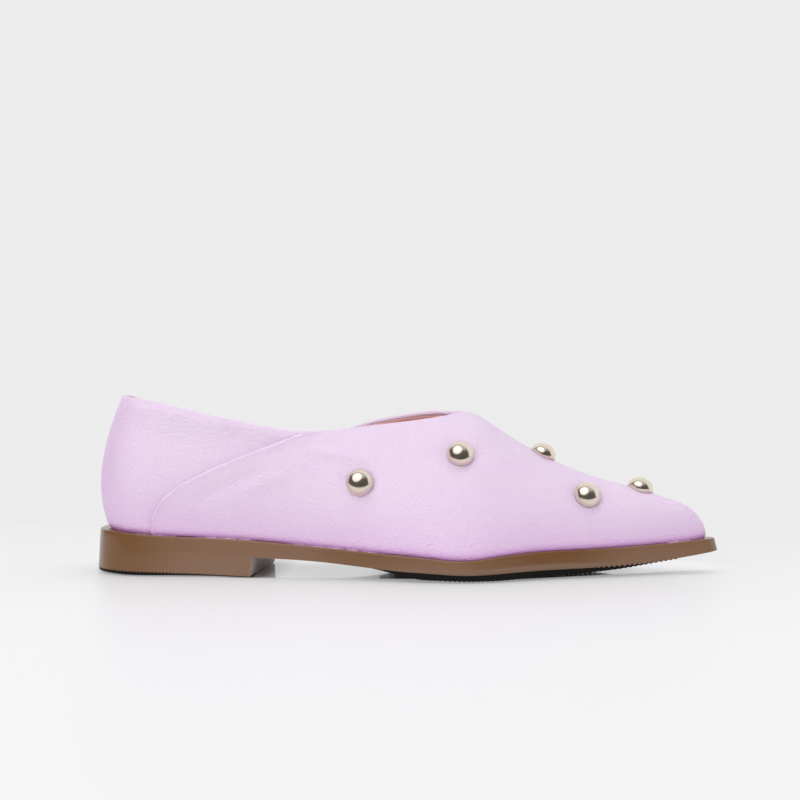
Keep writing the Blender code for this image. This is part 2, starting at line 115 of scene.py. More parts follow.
# Crest of the last from the cone down the instep to the toe
CREST_TABLE = {
    "columns": ("x", "y", "z"),
    "rows": [
        (-119.5, 0.0, 92.0),
        (-85.0, 0.0, 90.0),
        (-60.0, 0.6, 86.5),
        (-35.0, 2.0, 80.0),
        (-15.0, 3.2, 74.6),
        (5.0, 4.0, 71.9),
        (16.0, 4.1, 70.8),
        (24.0, 4.1, 69.4),
        (28.5, 4.0, 68.6),
        (33.0, 3.9, 66.5),
        (38.0, 3.7, 63.2),
        (45.0, 3.4, 58.5),
        (54.0, 3.0, 53.3),
        (65.0, 2.5, 47.6),
        (74.0, 2.0, 43.6),
        (88.0, 1.4, 39.0),
        (98.0, 1.0, 36.7),
        (108.0, 0.5, 33.6),
        (119.5, 0.0, 29.5),
    ],
}

# Cross-sections: lean of the wall at the sole, grip of its curve there and at the crest, fall of the
# surface at the crest, and half the gap between the two sides at the cone
SECTION_TABLE = {
    "columns": ("station", "lateral_lean", "medial_lean", "foot_grip", "crest_grip", "fall", "cone"),
    "rows": [
        (-140.0, 24.0, 24.0, 27.0, 22.0, 68.0, 0.0),
        (-124.0, 20.0, 20.0, 27.0, 21.0, 67.0, 9.0),
        (-107.0, 15.0, 15.0, 25.5, 20.0, 67.0, 13.0),
        (-85.0, 14.0, 14.0, 21.5, 20.0, 62.0, 14.5),
        (-60.0, 12.0, 15.0, 20.0, 21.0, 54.0, 13.5),
        (-35.0, 10.0, 15.0, 20.0, 22.0, 30.0, 7.0),
        (-15.0, 8.0, 14.0, 20.0, 23.5, 8.0, 1.0),
        (5.0, 5.0, 10.0, 14.5, 21.5, 4.0, 0.0),
        (24.0, 4.0, 7.0, 10.5, 18.5, 4.0, 0.0),
        (45.0, 3.0, 4.0, 9.5, 16.5, 4.0, 0.0),
        (65.0, 3.0, 3.0, 9.0, 14.5, 3.0, 0.0),
        (88.0, 2.0, 2.0, 8.0, 11.0, 2.0, 0.0),
        (108.0, 1.0, 1.0, 8.0, 8.0, 0.0, 0.0),
        (119.5, 0.0, 0.0, 7.5, 6.0, 0.0, 0.0),
        (136.0, 0.0, 0.0, 7.0, 6.0, 25.0, 0.0),
    ],
}

# Height of the collar's edge, from the back of the heel down to the dip and up to the throat
COLLAR_TABLE = {
    "columns": ("x", "lateral", "medial"),
    "rows": [
        (-126.0, 77.4, 77.4),
        (-121.0, 76.8, 75.0),
        (-115.0, 75.9, 73.5),
        (-105.0, 73.9, 71.3),
        (-83.0, 68.9, 66.2),
        (-62.0, 64.6, 61.8),
        (-45.0, 61.9, 60.0),
        (-34.0, 62.1, 60.2),
        (-27.0, 62.7, 62.2),
        (-20.0, 63.6, 64.7),
        (-8.0, 65.0, 67.6),
        (6.0, 66.7, 69.9),
        (16.0, 68.2, 70.5),
        (23.6, 69.4, 69.4),
    ],
}

# Seam of the front panel, drawn on the side elevation as one cubic curve
SEAM_CURVE = ((-108.0, 17.0), (-108.0, 36.0), (-97.3, 40.8), (-41.2, 62.0))

# Studs: station along the shoe, side, and share of the way up the section
STUD_TABLE = {
    "columns": ("name", "station", "side", "rise"),
    "rows": [
        ("stud_lateral_rear", -17.8, LATERAL, 0.539),
        ("stud_lateral_middle", 23.7, LATERAL, 0.610),
        ("stud_lateral_front", 77.7, LATERAL, 0.598),
        ("stud_crest_rear", 59.7, MEDIAL, 0.956),
        ("stud_crest_front", 102.2, MEDIAL, 0.920),
        ("stud_medial_rear", -17.8, MEDIAL, 0.539),
        ("stud_medial_middle", 23.7, MEDIAL, 0.610),
        ("stud_medial_front", 77.7, MEDIAL, 0.598),
    ],
}
STUD_RADIUS = 5.9
STUD_DIMPLE = {"depth": 0.3, "width": 2.4, "reach": 16.0}

# Creases and ridges of the leather on the side elevation: start, middle, end, height and width
CREASE_TABLE = {
    "columns": ("side", "start", "middle", "end", "height", "width"),
    "rows": [
        (LATERAL, (-33.5, 62.0), (-36.0, 60.0), (-40.5, 56.5), -0.40, 1.5),
        (LATERAL, (-39.0, 60.5), (-41.0, 58.5), (-45.0, 55.0), 0.22, 1.6),
        (LATERAL, (-41.0, 54.0), (-26.0, 52.0), (-10.0, 47.5), 0.50, 1.5),
        (LATERAL, (-42.0, 49.0), (-29.0, 47.5), (-20.0, 46.0), -0.25, 2.4),
        (LATERAL, (-92.0, 29.0), (-76.0, 38.5), (-56.0, 46.0), -0.60, 3.2),
        (LATERAL, (-64.0, 31.0), (-54.0, 35.0), (-42.0, 38.0), -0.10, 2.8),
        (LATERAL, (-70.0, 36.5), (-58.0, 41.5), (-44.0, 45.0), 0.40, 3.4),
        (MEDIAL, (-40.0, 59.0), (-37.5, 56.0), (-33.0, 52.0), -0.40, 1.8),
        (MEDIAL, (-43.0, 51.5), (-30.0, 50.5), (-13.0, 47.0), 0.35, 2.0),
        (MEDIAL, (-74.0, 33.0), (-63.0, 37.5), (-52.0, 40.0), -0.28, 2.6),
        (MEDIAL, (-40.0, 34.0), (-30.0, 36.5), (-18.0, 36.0), -0.25, 3.0),
    ],
}
CREASE_POINTS = 40
CREASE_FADE = 0.7


def curve_through(knots, values, flat_start=False, flat_end=False):
    """A cubic spline as a function of arrays; a flat end has no slope, any other end no curvature."""
    knots = np.array(knots, float)
    values = np.array(values, float)
    count = len(knots)
    step = np.diff(knots)
    rise = np.diff(values) / step
    system = np.zeros((count, count))
    right = np.zeros(count)
    for i in range(1, count - 1):
        system[i, i - 1 : i + 2] = step[i - 1], 2 * (step[i - 1] + step[i]), step[i]
        right[i] = 6 * (rise[i] - rise[i - 1])
    system[0, 0] = system[-1, -1] = 1.0
    if flat_start:
        system[0, :2] = 2 * step[0], step[0]
        right[0] = 6 * rise[0]
    if flat_end:
        system[-1, -2:] = step[-1], 2 * step[-1]
        right[-1] = -6 * rise[-1]
    bend = np.linalg.solve(system, right)

    def at(t):
        t = np.clip(t, knots[0], knots[-1])
        i = np.clip(np.searchsorted(knots, t, side="right") - 1, 0, count - 2)
        a = knots[i + 1] - t
        b = t - knots[i]
        h = step[i]
        return (
            (bend[i] * a**3 + bend[i + 1] * b**3) / (6 * h)
            + (values[i] / h - bend[i] * h / 6) * a
            + (values[i + 1] / h - bend[i + 1] * h / 6) * b
        )

    return at


def column(table, name, flat_start=False, flat_end=False):
    """One named column of a table as a smooth function of the table's first column."""
    place = table["columns"].index(name)
    knots = [row[0] for row in table["rows"]]
    values = [row[place] for row in table["rows"]]
    return curve_through(knots, values, flat_start, flat_end)


sole_half = {LATERAL: column(SOLE_TABLE, "lateral"), MEDIAL: column(SOLE_TABLE, "medial")}
sole_top = column(SOLE_TABLE, "top", flat_start=True)
crest_y = column(CREST_TABLE, "y")
crest_z = column(CREST_TABLE, "z")
wall_lean = {
    LATERAL: column(SECTION_TABLE, "lateral_lean", True, True),
    MEDIAL: column(SECTION_TABLE, "medial_lean", True, True),
}
foot_grip = column(SECTION_TABLE, "foot_grip", True, True)
crest_grip = column(SECTION_TABLE, "crest_grip", True, True)
crest_fall = column(SECTION_TABLE, "fall", True)
cone_half = column(SECTION_TABLE, "cone")
collar_z = {LATERAL: column(COLLAR_TABLE, "lateral", True), MEDIAL: column(COLLAR_TABLE, "medial", True)}


def outline_point(station, side, inset, back, tip, tip_round):
    """Plan points of an outline: a round heel, the sole's sides less an inset, and a short round tip."""
    heel_turn = np.clip((station - STATION_BACK) / (HEEL_CENTRE_X - STATION_BACK), 0, 1) * math.pi / 2
    tip_start = tip - tip_round
    tip_turn = np.clip((station - tip_start) / (STATION_FRONT - tip_start), 0, 1) * math.pi / 2
    power = 2 / HEEL_SQUARENESS
    heel_x = HEEL_CENTRE_X - (HEEL_CENTRE_X - back) * np.maximum(np.cos(heel_turn), 0) ** power
    x = np.where(station < HEEL_CENTRE_X, heel_x, np.minimum(station, tip_start))
    x = x + tip_round * np.sin(tip_turn)
    half = (sole_half[side](x) - inset) * np.sin(heel_turn) ** power * np.cos(tip_turn)
    return np.stack((x, side * half), -1)


def outline_normal(station, side, **outline):
    """The outward direction of that outline, in plan."""
    nudge = 0.05
    ahead = outline_point(np.minimum(station + nudge, STATION_FRONT), side, **outline)
    behind = outline_point(np.maximum(station - nudge, STATION_BACK), side, **outline)
    run = ahead - behind
    outward = np.stack((-run[..., 1], run[..., 0]), -1) * side
    outward /= np.linalg.norm(outward, axis=-1, keepdims=True)
    outward[station <= STATION_BACK] = (-1.0, 0.0)
    outward[station >= STATION_FRONT] = (1.0, 0.0)
    return outward


def crest_x(station):
    """The x at which a station's section ends on the crest."""
    back_x = CREST_TABLE["rows"][0][0]
    share = (station - STATION_BACK) / (HEEL_CENTRE_X - STATION_BACK)
    heel = back_x + (HEEL_CENTRE_X + CONE_STEP - back_x) * share**2
    cone = station + CONE_STEP * (station - CONE_FRONT_X) / (HEEL_CENTRE_X - CONE_FRONT_X)
    fore = np.minimum(station, TOE_CREST_X)
    return np.where(station < HEEL_CENTRE_X, heel, np.where(station < CONE_FRONT_X, cone, fore))


def section_handles(station, side):
    """The four control points of each station's section, from the sole to the crest."""
    foot = outline_point(station, side, **UPPER_OUTLINE)
    outward = outline_normal(station, side, **UPPER_OUTLINE)
    lean = np.radians(wall_lean[side](station))
    low = np.concatenate((foot, sole_top(foot[..., :1]) + SEAT_GAP), -1)
    climb = np.concatenate((outward * np.sin(lean)[..., None], np.cos(lean)[..., None]), -1)
    top_x = crest_x(station)
    top = np.stack((top_x, crest_y(top_x) + side * cone_half(station), crest_z(top_x)), -1)
    to_foot = foot - top[..., :2]
    to_foot = to_foot / np.linalg.norm(to_foot, axis=-1, keepdims=True)
    across = np.where((station <= HEEL_CENTRE_X)[..., None], outward, np.array((0.0, float(side))))
    across = np.where((station > TOE_CREST_X)[..., None], to_foot, across)
    toe_fall = np.arctan(math.tan(math.radians(crest_fall(STATION_FRONT))) * across[..., 0])
    fall = np.where(station > TOE_CREST_X, toe_fall, np.radians(crest_fall(station)))
    reach = np.concatenate((across * np.cos(fall)[..., None], -np.sin(fall)[..., None]), -1)
    foot_hold = low + climb * foot_grip(station)[..., None]
    crest_hold = top + reach * crest_grip(station)[..., None]
    return low, foot_hold, crest_hold, top


def on_section(handles, share):
    """Points of the last: share runs from 0 at the sole to 1 at the crest."""
    a, b, c, d = handles
    share = share[..., None]
    rest = 1 - share
    return rest**3 * a + 3 * rest**2 * share * b + 3 * rest * share**2 * c + share**3 * d


def fold_height(x):
    """How far the folded edge rises over the end of the outer face; it thins out at the V's point."""
    near = soft_step(x, THROAT_X, THROAT_X - FOLD_THINNING)
    return FOLD_HEIGHT * (FOLD_THINNED + (1 - FOLD_THINNED) * near)


LOWEST_EDGE_SHARE = 0.3
HALVINGS = 30


def crossing(low, high, is_past):
    """Where a test turns true between two values, found by halving."""
    for _ in range(HALVINGS):
        middle = (low + high) / 2
        past = is_past(middle)
        high = np.where(past, middle, high)
        low = np.where(past, low, middle)
    return (low + high) / 2


def upper_point(station, rise, side, folded=True):
    """Points of the upper: rise runs from 0 at the sole to 1 at the collar's fold or at the crest."""
    handles = section_handles(station, side)

    def above_edge(share):
        point = on_section(handles, share)
        edge = collar_z[side](point[..., 0]) - (fold_height(point[..., 0]) if folded else 0.0)
        return point[..., 2] > edge

    edge_share = crossing(np.full(station.shape, LOWEST_EDGE_SHARE), np.ones(station.shape), above_edge)
    share = np.where(station >= THROAT_X, 1.0, edge_share)
    return on_section(handles, rise * share)


def curve_points(handles, count):
    """Points along a quadratic or cubic curve given by its control points."""
    share = np.linspace(0, 1, count)[:, None]
    line = [np.array(handle, float) for handle in handles]
    while len(line) > 1:
        line = [a * (1 - share) + b * share for a, b in zip(line, line[1:])]
    return line[0]


SEAM_POINTS = 200
SEAM_LINE = curve_points(SEAM_CURVE, SEAM_POINTS)


def seam_x(z):
    return np.interp(z, SEAM_LINE[:, 1], SEAM_LINE[:, 0])


def seam_stations(rise, side):
    """The station where the seam crosses each height row, and the run along x of a millimetre across it."""

    def ahead_of_seam(station):
        point = upper_point(station, rise, side)
        return point[:, 0] > seam_x(point[:, 2])

    station = crossing(np.full(rise.shape, STATION_BACK + 1.0), np.zeros(rise.shape), ahead_of_seam)
    nudge, margin = 0.5, 0.6
    z = upper_point(station, rise, side)[:, 2]
    z = np.clip(z, SEAM_LINE[0, 1] + margin, SEAM_LINE[-1, 1] - margin)
    slope = seam_x(z + nudge) - seam_x(z - nudge)
    return station, np.sqrt(1 + slope**2)


def sheet(stations, rise, throat_line, pole_line):
    """The last's surface on a grid of lines by rows on both sides: points, outward directions, vertex
    numbers by side, and faces. The sides share the back, front and crest lines and the toe's pole."""
    points = []
    index = {}
    for side in SIDES:
        grid = upper_point(stations[side], np.broadcast_to(rise, stations[side].shape), side)
        index[side] = numbered(grid, len(points) * grid[..., 0].size)
        points.append(grid.reshape(-1, 3))
    points = np.concatenate(points)
    shared = index[LATERAL]
    shared[pole_line:, -1] = shared[pole_line, -1]
    index[MEDIAL][[0, -1]] = shared[[0, -1]]
    index[MEDIAL][throat_line:, -1] = shared[throat_line:, -1]
    faces = np.concatenate([grid_faces(index[side], flip=side == MEDIAL) for side in SIDES])
    return points, face_normals(points, faces), index, faces


def numbered(grid, first=0):
    """Vertex numbers for a grid of points."""
    return np.arange(grid[..., 0].size).reshape(grid.shape[:2]) + first


def grid_faces(index, flip=False):
    """Four-sided faces over a grid of vertex numbers."""
    quads = np.stack((index[:-1, :-1], index[1:, :-1], index[1:, 1:], index[:-1, 1:]), -1).reshape(-1, 4)
    return quads[:, ::-1] if flip else quads


def face_normals(points, quads):
    """Directions at the vertices, averaged from the faces round them."""
    corner = points[quads]
    turned = np.cross(corner[:, 2] - corner[:, 0], corner[:, 3] - corner[:, 1])
    total = np.zeros_like(points)
    for k in range(4):
        np.add.at(total, quads[:, k], turned)
    length = np.linalg.norm(total, axis=1, keepdims=True)
    return total / np.where(length > 0, length, 1.0)


def stand_on_sole(points, foot):
    """Brings the lowest points of a wall onto the sole's upper rim."""
    points[foot, 2] = sole_top(points[foot, 0]) + SEAT_GAP


def soft_step(value, start, end):
    share = np.clip((value - start) / (end - start), 0, 1)
    return share * share * (3 - 2 * share)


def lap_height(distance, z):
    """Height across the seam: a pressed crevice behind it, the folded edge, then the lapped panel. The fold
    is pressed flatter towards the sole."""
    turn = np.clip(distance / LAP_FOLD, 0, 1)
    fold = LAP * np.sqrt(1 - (1 - turn) ** 2)
    swell = np.exp(-(((distance - LAP_BEAD["place"]) / LAP_BEAD["width"]) ** 2))
    bead = np.where(distance > 0, LAP_BEAD["height"] * swell, 0.0)
    crevice = -CREVICE["depth"] * np.where(distance <= 0, np.exp(distance / CREVICE["width"]), 1 - turn)
    return (fold + bead + crevice) * (LAP_PRESSED + (1 - LAP_PRESSED) * soft_step(z, *LAP_STANDS))


def crease_height(points, side):
    """All the creases and ridges of one side, as soft troughs that fade at their ends."""
    total = np.zeros(len(points))
    for crease_side, start, middle, end, height, width in CREASE_TABLE["rows"]:
        if crease_side != side:
            continue
        line = curve_points((start, middle, end), CREASE_POINTS)
        apart = np.linalg.norm(points[:, None, (0, 2)] - line[None], axis=-1)
        fade = np.sin(math.pi * np.argmin(apart, 1) / (CREASE_POINTS - 1)) ** CREASE_FADE
        total += height * fade * np.exp(-((apart.min(1) / width) ** 2))
    return total


def add_piece(name, points, faces, finish, marks=None, sharp_above=None):
    """A smooth-shaded mesh piece from points in shoe millimetres, with values painted on its points."""
    faces = [list(dict.fromkeys(face)) for face in np.asarray(faces).tolist()]
    faces = [face for face in faces if len(face) > 2]
    used = np.unique(np.concatenate(faces))
    renumber = np.zeros(len(points), int)
    renumber[used] = np.arange(len(used))
    placed = (np.asarray(points)[used] + (0.0, CENTRE_LINE_Y, 0.0)) * MM
    mesh = bpy.data.meshes.new(name)
    mesh.from_pydata(placed.tolist(), [], [renumber[face].tolist() for face in faces])
    mesh.shade_smooth()
    if sharp_above:
        mesh.set_sharp_from_angle(angle=math.radians(sharp_above))
    for mark, values in (marks or {}).items():
        mesh.attributes.new(mark, "FLOAT", "POINT").data.foreach_set("value", np.asarray(values)[used])
    mesh.materials.append(finish)
    piece = bpy.data.objects.new(name, mesh)
    bpy.context.scene.collection.objects.link(piece)
    return piece


def set_sockets(tree, node, **values):
    """Plain values put on a node's sockets, and links where a value is another node's output."""
    for socket, value in values.items():
        entry = node.inputs[socket.replace("_", " ")]
        if isinstance(value, bpy.types.NodeSocket):
            tree.links.new(value, entry)
        else:
            entry.default_value = value


def new_finish(name, **values):
    """A finish with one Principled shader, its plain values set on the shader's own sockets."""
    finish = bpy.data.materials.new(name)
    finish.use_nodes = True
    shader = finish.node_tree.nodes["Principled BSDF"]
    set_sockets(finish.node_tree, shader, **values)
    return finish, finish.node_tree, shader


def add_node(tree, kind, settings=(), **values):
    """A node with its settings made and its sockets set or linked."""
    node = tree.nodes.new(kind)
    for setting, value in dict(settings).items():
        setattr(node, setting, value)
    set_sockets(tree, node, **values)
    return node


def painted(tree, mark):
    """A value that is painted on the points of the piece."""
    return add_node(tree, "ShaderNodeAttribute", {"attribute_name": mark}).outputs["Fac"]


def spread(tree, size, stretch=(1.0, 1.0, 1.0), slope=0.0):
    """Places on the piece in steps of a size in millimetres, stretched along axes tilted about Y."""
    place = add_node(tree, "ShaderNodeTexCoord").outputs["Object"]
    tilt = (0.0, math.radians(slope), 0.0)
    scale = tuple(1 / (size * MM * part) for part in stretch)
    return add_node(tree, "ShaderNodeMapping", Vector=place, Rotation=tilt, Scale=scale).outputs["Vector"]


def noise(tree, size, detail=2.0, roughness=0.5, **lay):
    """Noise with features of a size in millimetres."""
    place = spread(tree, size, **lay)
    made = add_node(tree, "ShaderNodeTexNoise", Vector=place, Scale=1.0, Detail=detail, Roughness=roughness)
    return made.outputs["Fac"]


def ramp(tree, value, start, end, low=0.0, high=1.0):
    """A value carried from one range to another."""
    made = add_node(tree, "ShaderNodeMapRange", Value=value, From_Min=start, From_Max=end)
    set_sockets(tree, made, To_Min=low, To_Max=high)
    return made.outputs["Result"]


def varied(tree, speckle, low, high):
    """Noise carried from its usual range to another."""
    return ramp(tree, speckle, 0.3, 0.7, low, high)


def combined(tree, operation, first, second, clamped=False):
    """Two values put together by one operation."""
    made = add_node(tree, "ShaderNodeMath", {"operation": operation, "use_clamp": clamped})
    tree.links.new(first, made.inputs[0])
    tree.links.new(second, made.inputs[1])
    return made.outputs[0]


# Places of the colour sockets on a Mix node
MIX_FIRST, MIX_SECOND, MIX_RESULT = 6, 7, 2


def two_tone(tree, share, first, second):
    """A colour between two tones by a share; the first tone may be another node's output."""
    made = add_node(tree, "ShaderNodeMix", {"data_type": "RGBA"}, Factor=share)
    if isinstance(first, bpy.types.NodeSocket):
        tree.links.new(first, made.inputs[MIX_FIRST])
    else:
        made.inputs[MIX_FIRST].default_value = (*first, 1.0)
    made.inputs[MIX_SECOND].default_value = (*second, 1.0)
    return made.outputs[MIX_RESULT]


def bump(tree, height, depth, **under):
    """A bump of a depth in millimetres, over an earlier bump where one is given as Normal."""
    return add_node(tree, "ShaderNodeBump", Height=height, Distance=depth * MM, **under).outputs["Normal"]


# The lit tone is a painted sheen high on the upper, the shaded tone a painted shade low down and at the
# heel's back end
LILAC_LIT = (0.745, 0.590, 0.772)
LILAC_SHADED = (0.730, 0.508, 0.755)
# Painted shade along the joint with the sole
LILAC_TUCK_SHADE = (0.610, 0.275, 0.660)
GRAIN_SIZE = 0.8
GRAIN_DEPTH = 0.29
PORE_SIZE = 0.6
PORE_DEPTH = 0.16
WRINKLE_DEPTH = 0.8
WRINKLE_EVERYWHERE = 0.06
WRINKLE_FADE = {"down": (24.0, 6.0), "edge": (1.0, 4.5), "back": (-133.0, -118.0)}
leather_finish, tree, shader = new_finish("lilac_leather", Specular_IOR_Level=1.0)
# Painted sheen and shade: the lit tone high on the upper, the shaded tone towards the sole and at the heel's
# back end, with random patches over both
patches = varied(tree, noise(tree, size=14.0, detail=3.0), low=-0.12, high=0.12)
depth = combined(tree, "ADD", painted(tree, "sheen_and_shade"), patches, clamped=True)
tone = two_tone(tree, depth, LILAC_LIT, LILAC_SHADED)
places = spread(tree, GRAIN_SIZE)
cells = add_node(tree, "ShaderNodeTexVoronoi", {"feature": "SMOOTH_F1"}, Vector=places, Scale=1.0)
wrinkles = noise(tree, size=1.0, detail=3.0, roughness=0.6, stretch=(4.5, 2.0, 0.9), slope=22.0)
wrinkles = combined(tree, "MULTIPLY", painted(tree, "wrinkle"), wrinkles)
relief = bump(tree, cells.outputs["Distance"], GRAIN_DEPTH)
relief = bump(tree, noise(tree, PORE_SIZE), PORE_DEPTH, Normal=relief)
set_sockets(
    tree,
    shader,
    # Painted shade along the sole, over the tone above
    Base_Color=two_tone(tree, painted(tree, "tuck_shade"), tone, LILAC_TUCK_SHADE),
    Roughness=varied(tree, noise(tree, size=2.5, detail=3.0), low=0.38, high=0.48),
    Normal=bump(tree, wrinkles, WRINKLE_DEPTH, Normal=relief),
)

ROW_COUNT = 73
ROW_CROWDING = 0.55
LINE_COUNTS = {"back": 58, "quarter": 92, "vamp": 96, "toe": 27}
row_share = np.linspace(0, 1, ROW_COUNT)
ROWS = row_share - ROW_CROWDING / (2 * math.pi) * np.sin(2 * math.pi * row_share)
BEHIND_SEAM = -np.array((6.5, 4.8, 3.4, 2.4, 1.6, 1.0, 0.6, 0.3, 0.12))
OVER_SEAM = np.array((0.0, 0.02, 0.06, 0.12, 0.2, 0.3, 0.42, 0.6, 0.9, 1.3, 1.8, 2.6, 3.6, 5.0))
SEAM_BLUR = 0.05
lap_stations = {}
lap_distance = {}
for side in SIDES:
    seam, run = seam_stations(ROWS, side)
    behind = seam + BEHIND_SEAM[:, None] * run
    over = seam + OVER_SEAM[:, None] * run
    back = np.linspace(np.full(len(ROWS), STATION_BACK), behind[0], LINE_COUNTS["back"])[:-1]
    quarter = np.linspace(over[-1], np.full(len(ROWS), THROAT_X), LINE_COUNTS["quarter"])[1:]
    vamp = np.linspace(THROAT_X, TOE_CREST_X, LINE_COUNTS["vamp"])[1:]
    toe = np.linspace(TOE_CREST_X, STATION_FRONT, LINE_COUNTS["toe"])[1:]
    fore = np.repeat(np.concatenate((vamp, toe))[:, None], len(ROWS), 1)
    lap_stations[side] = np.concatenate((back, behind, over, quarter, fore))
    lap_distance[side] = (lap_stations[side] - seam) / run
throat_line = len(back) + len(behind) + len(over) + len(quarter) - 1
pole_line = throat_line + len(vamp)

base, outward, outer, outer_faces = sheet(lap_stations, ROWS, throat_line, pole_line)
height = np.zeros(len(base))
tuck_shade_mark = np.zeros(len(base))
sheen_shade_mark = np.zeros(len(base))
wrinkle_mark = np.zeros(len(base))
stud_seats = {
    name: upper_point(np.array([station]), np.array([rise]), side, folded=False)[0]
    for name, station, side, rise in STUD_TABLE["rows"]
}
# The lateral side comes last, so the lines that both sides share take its values
for side in SIDES[::-1]:
    numbers = outer[side]
    spots = base[numbers]
    above_foot = spots[..., 2] - spots[:, :1, 2]
    below_edge = np.linalg.norm(spots - spots[:, -1:], axis=-1)
    open_edge = (np.arange(len(spots)) <= throat_line)[:, None]
    lift = lap_height(lap_distance[side], spots[..., 2])
    lift += crease_height(spots.reshape(-1, 3), side).reshape(lift.shape)
    lift -= TUCK_DEPTH * np.clip(1 - above_foot / TUCK_HEIGHT, 0, 1) ** 2
    x, z = spots[..., 0], spots[..., 2]
    wave = np.sin(x / RIPPLE["run"] + RIPPLE["shift"] * side)
    lift += RIPPLE["height"] * wave * np.sin(z / RIPPLE["climb"] + x / RIPPLE["drift"])
    for seat in stud_seats.values():
        apart = np.linalg.norm(spots - seat, axis=-1)
        ring = np.exp(-(((apart - STUD_RADIUS) / STUD_DIMPLE["width"]) ** 2))
        lift -= STUD_DIMPLE["depth"] * ring * (apart < STUD_DIMPLE["reach"])
    height[numbers] = lift
    # Painted shade mark along the sole
    tuck_shade_mark[numbers] = np.clip(1 - above_foot / TUCK_SHADE_HEIGHT, 0, 1) ** TUCK_SHADE_FALL
    # Painted shade mark: 1 at the sole and at the heel's back end, 0 high on the sides
    sheen_shade_mark[numbers] = 1 - soft_step(ROWS, 0.0, SHEEN_SHADE_SHARE) * soft_step(x, *SHEEN_SHADE_BACK)
    behind_lap = soft_step(lap_distance[side], SEAM_BLUR, -SEAM_BLUR)
    near_top = soft_step(below_edge, *WRINKLE_FADE["down"]) * soft_step(below_edge, *WRINKLE_FADE["edge"])
    near_top = near_top * soft_step(x, *WRINKLE_FADE["back"])
    wrinkled = np.where(open_edge, behind_lap * near_top, 0.0)
    wrinkle_mark[numbers] = WRINKLE_EVERYWHERE + (1 - WRINKLE_EVERYWHERE) * wrinkled

skin = base + outward * height[:, None]
for side in SIDES:
    stand_on_sole(skin, outer[side][:, 0])

# The inner face of the leather, and the rounded fold that joins it to the outer face along the collar
INNER_ROW_COUNT = 16
INNER_ROWS = np.linspace(len(ROWS) - 1, 0, INNER_ROW_COUNT).round().astype(int)
inner = {}
fold = {}
points = [skin]
count = len(skin)
faces = [outer_faces]
lining_side = base - outward * LEATHER_THICKNESS
for side in SIDES:
    stand_on_sole(lining_side, outer[side][:, 0])
    inner[side] = outer[side][:, INNER_ROWS] + count
points.append(lining_side)
count += len(lining_side)
for side in SIDES:
    rim = outer[side][: throat_line + 1, -1]
    edge = base[rim]
    along = np.gradient(edge, axis=0)
    upward = np.cross(along, outward[rim])
    upward /= np.linalg.norm(upward, axis=1, keepdims=True)
    climb = edge - base[outer[side][: throat_line + 1, -3]]
    upward *= np.sign(np.sum(upward * climb, axis=1))[:, None]
    upward[0] = (0.0, 0.0, 1.0)
    upward[-1] = (-1.0, 0.0, 0.0)
    middle = (skin[rim] + lining_side[rim]) / 2
    arm = (skin[rim] - lining_side[rim]) / 2
    turn = np.linspace(0, math.pi, FOLD_ROWS + 2)[1:-1]
    crown = upward * fold_height(edge[:, 0])[:, None]
    rolled = middle[:, None] + arm[:, None] * np.cos(turn)[:, None] + crown[:, None] * np.sin(turn)[:, None]
    fold[side] = numbered(rolled, count)
    points.append(rolled.reshape(-1, 3))
    count += rolled[..., 0].size
fold[MEDIAL][[0, -1]] = fold[LATERAL][[0, -1]]
for side in SIDES:
    flip = side == MEDIAL
    edge_lines = slice(0, throat_line + 1)
    rolled = np.concatenate((outer[side][edge_lines, -1:], fold[side], inner[side][edge_lines, :1]), 1)
    faces += [grid_faces(rolled, flip), grid_faces(inner[side], flip)]
    faces.append(grid_faces(np.stack((inner[side][:, -1], outer[side][:, 0]), 1), flip))
points = np.concatenate(points)
extra = np.zeros(len(points) - len(base))
marks = {"tuck_shade": tuck_shade_mark, "sheen_and_shade": sheen_shade_mark, "wrinkle": wrinkle_mark}
marks = {mark: np.concatenate((values, extra)) for mark, values in marks.items()}
upper_leather = add_piece("upper_leather", points, np.concatenate(faces), leather_finish, marks)
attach(upper_leather, "root")
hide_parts("upper")


# Lining: thin salmon leather stuck to the inside of the upper from the sole to the collar, its edge trimmed
# just below the folded lilac leather.
LINING_DROP = 0.7
LINING_DROP_FADE = 4.0
LINING_THROAT = (THROAT_X + 2.0, THROAT_X - 8.0)
LINING_ROWS = np.linspace(0, 1, 34)
SALMON_LIT = (0.80, 0.43, 0.36)
SALMON_DEEP = (0.72, 0.36, 0.30)


def mottled_finish(name, tones, patch, speck, shine, grain, depth, **values):
    """A finish of two mottled tones, varied shine and fine grain. Patch, speck and grain are each a size in
    millimetres and the noise's detail, shine is a range of roughness, and depth is the grain's."""
    finish, tree, shader = new_finish(name, **values)
    set_sockets(
        tree,
        shader,
        Base_Color=two_tone(tree, noise(tree, *patch), *tones),
        Roughness=varied(tree, noise(tree, *speck), *shine),
        Normal=bump(tree, noise(tree, *grain), depth),
    )
    return finish


lining_finish = mottled_finish(
    "salmon_lining",
    tones=(SALMON_LIT, SALMON_DEEP),
    patch=(6.0, 3.0),
    speck=(1.2, 2.0),
    shine=(0.55, 0.68),
    grain=(0.5, 3.0),
    depth=0.05,
    Specular_IOR_Level=0.35,
)

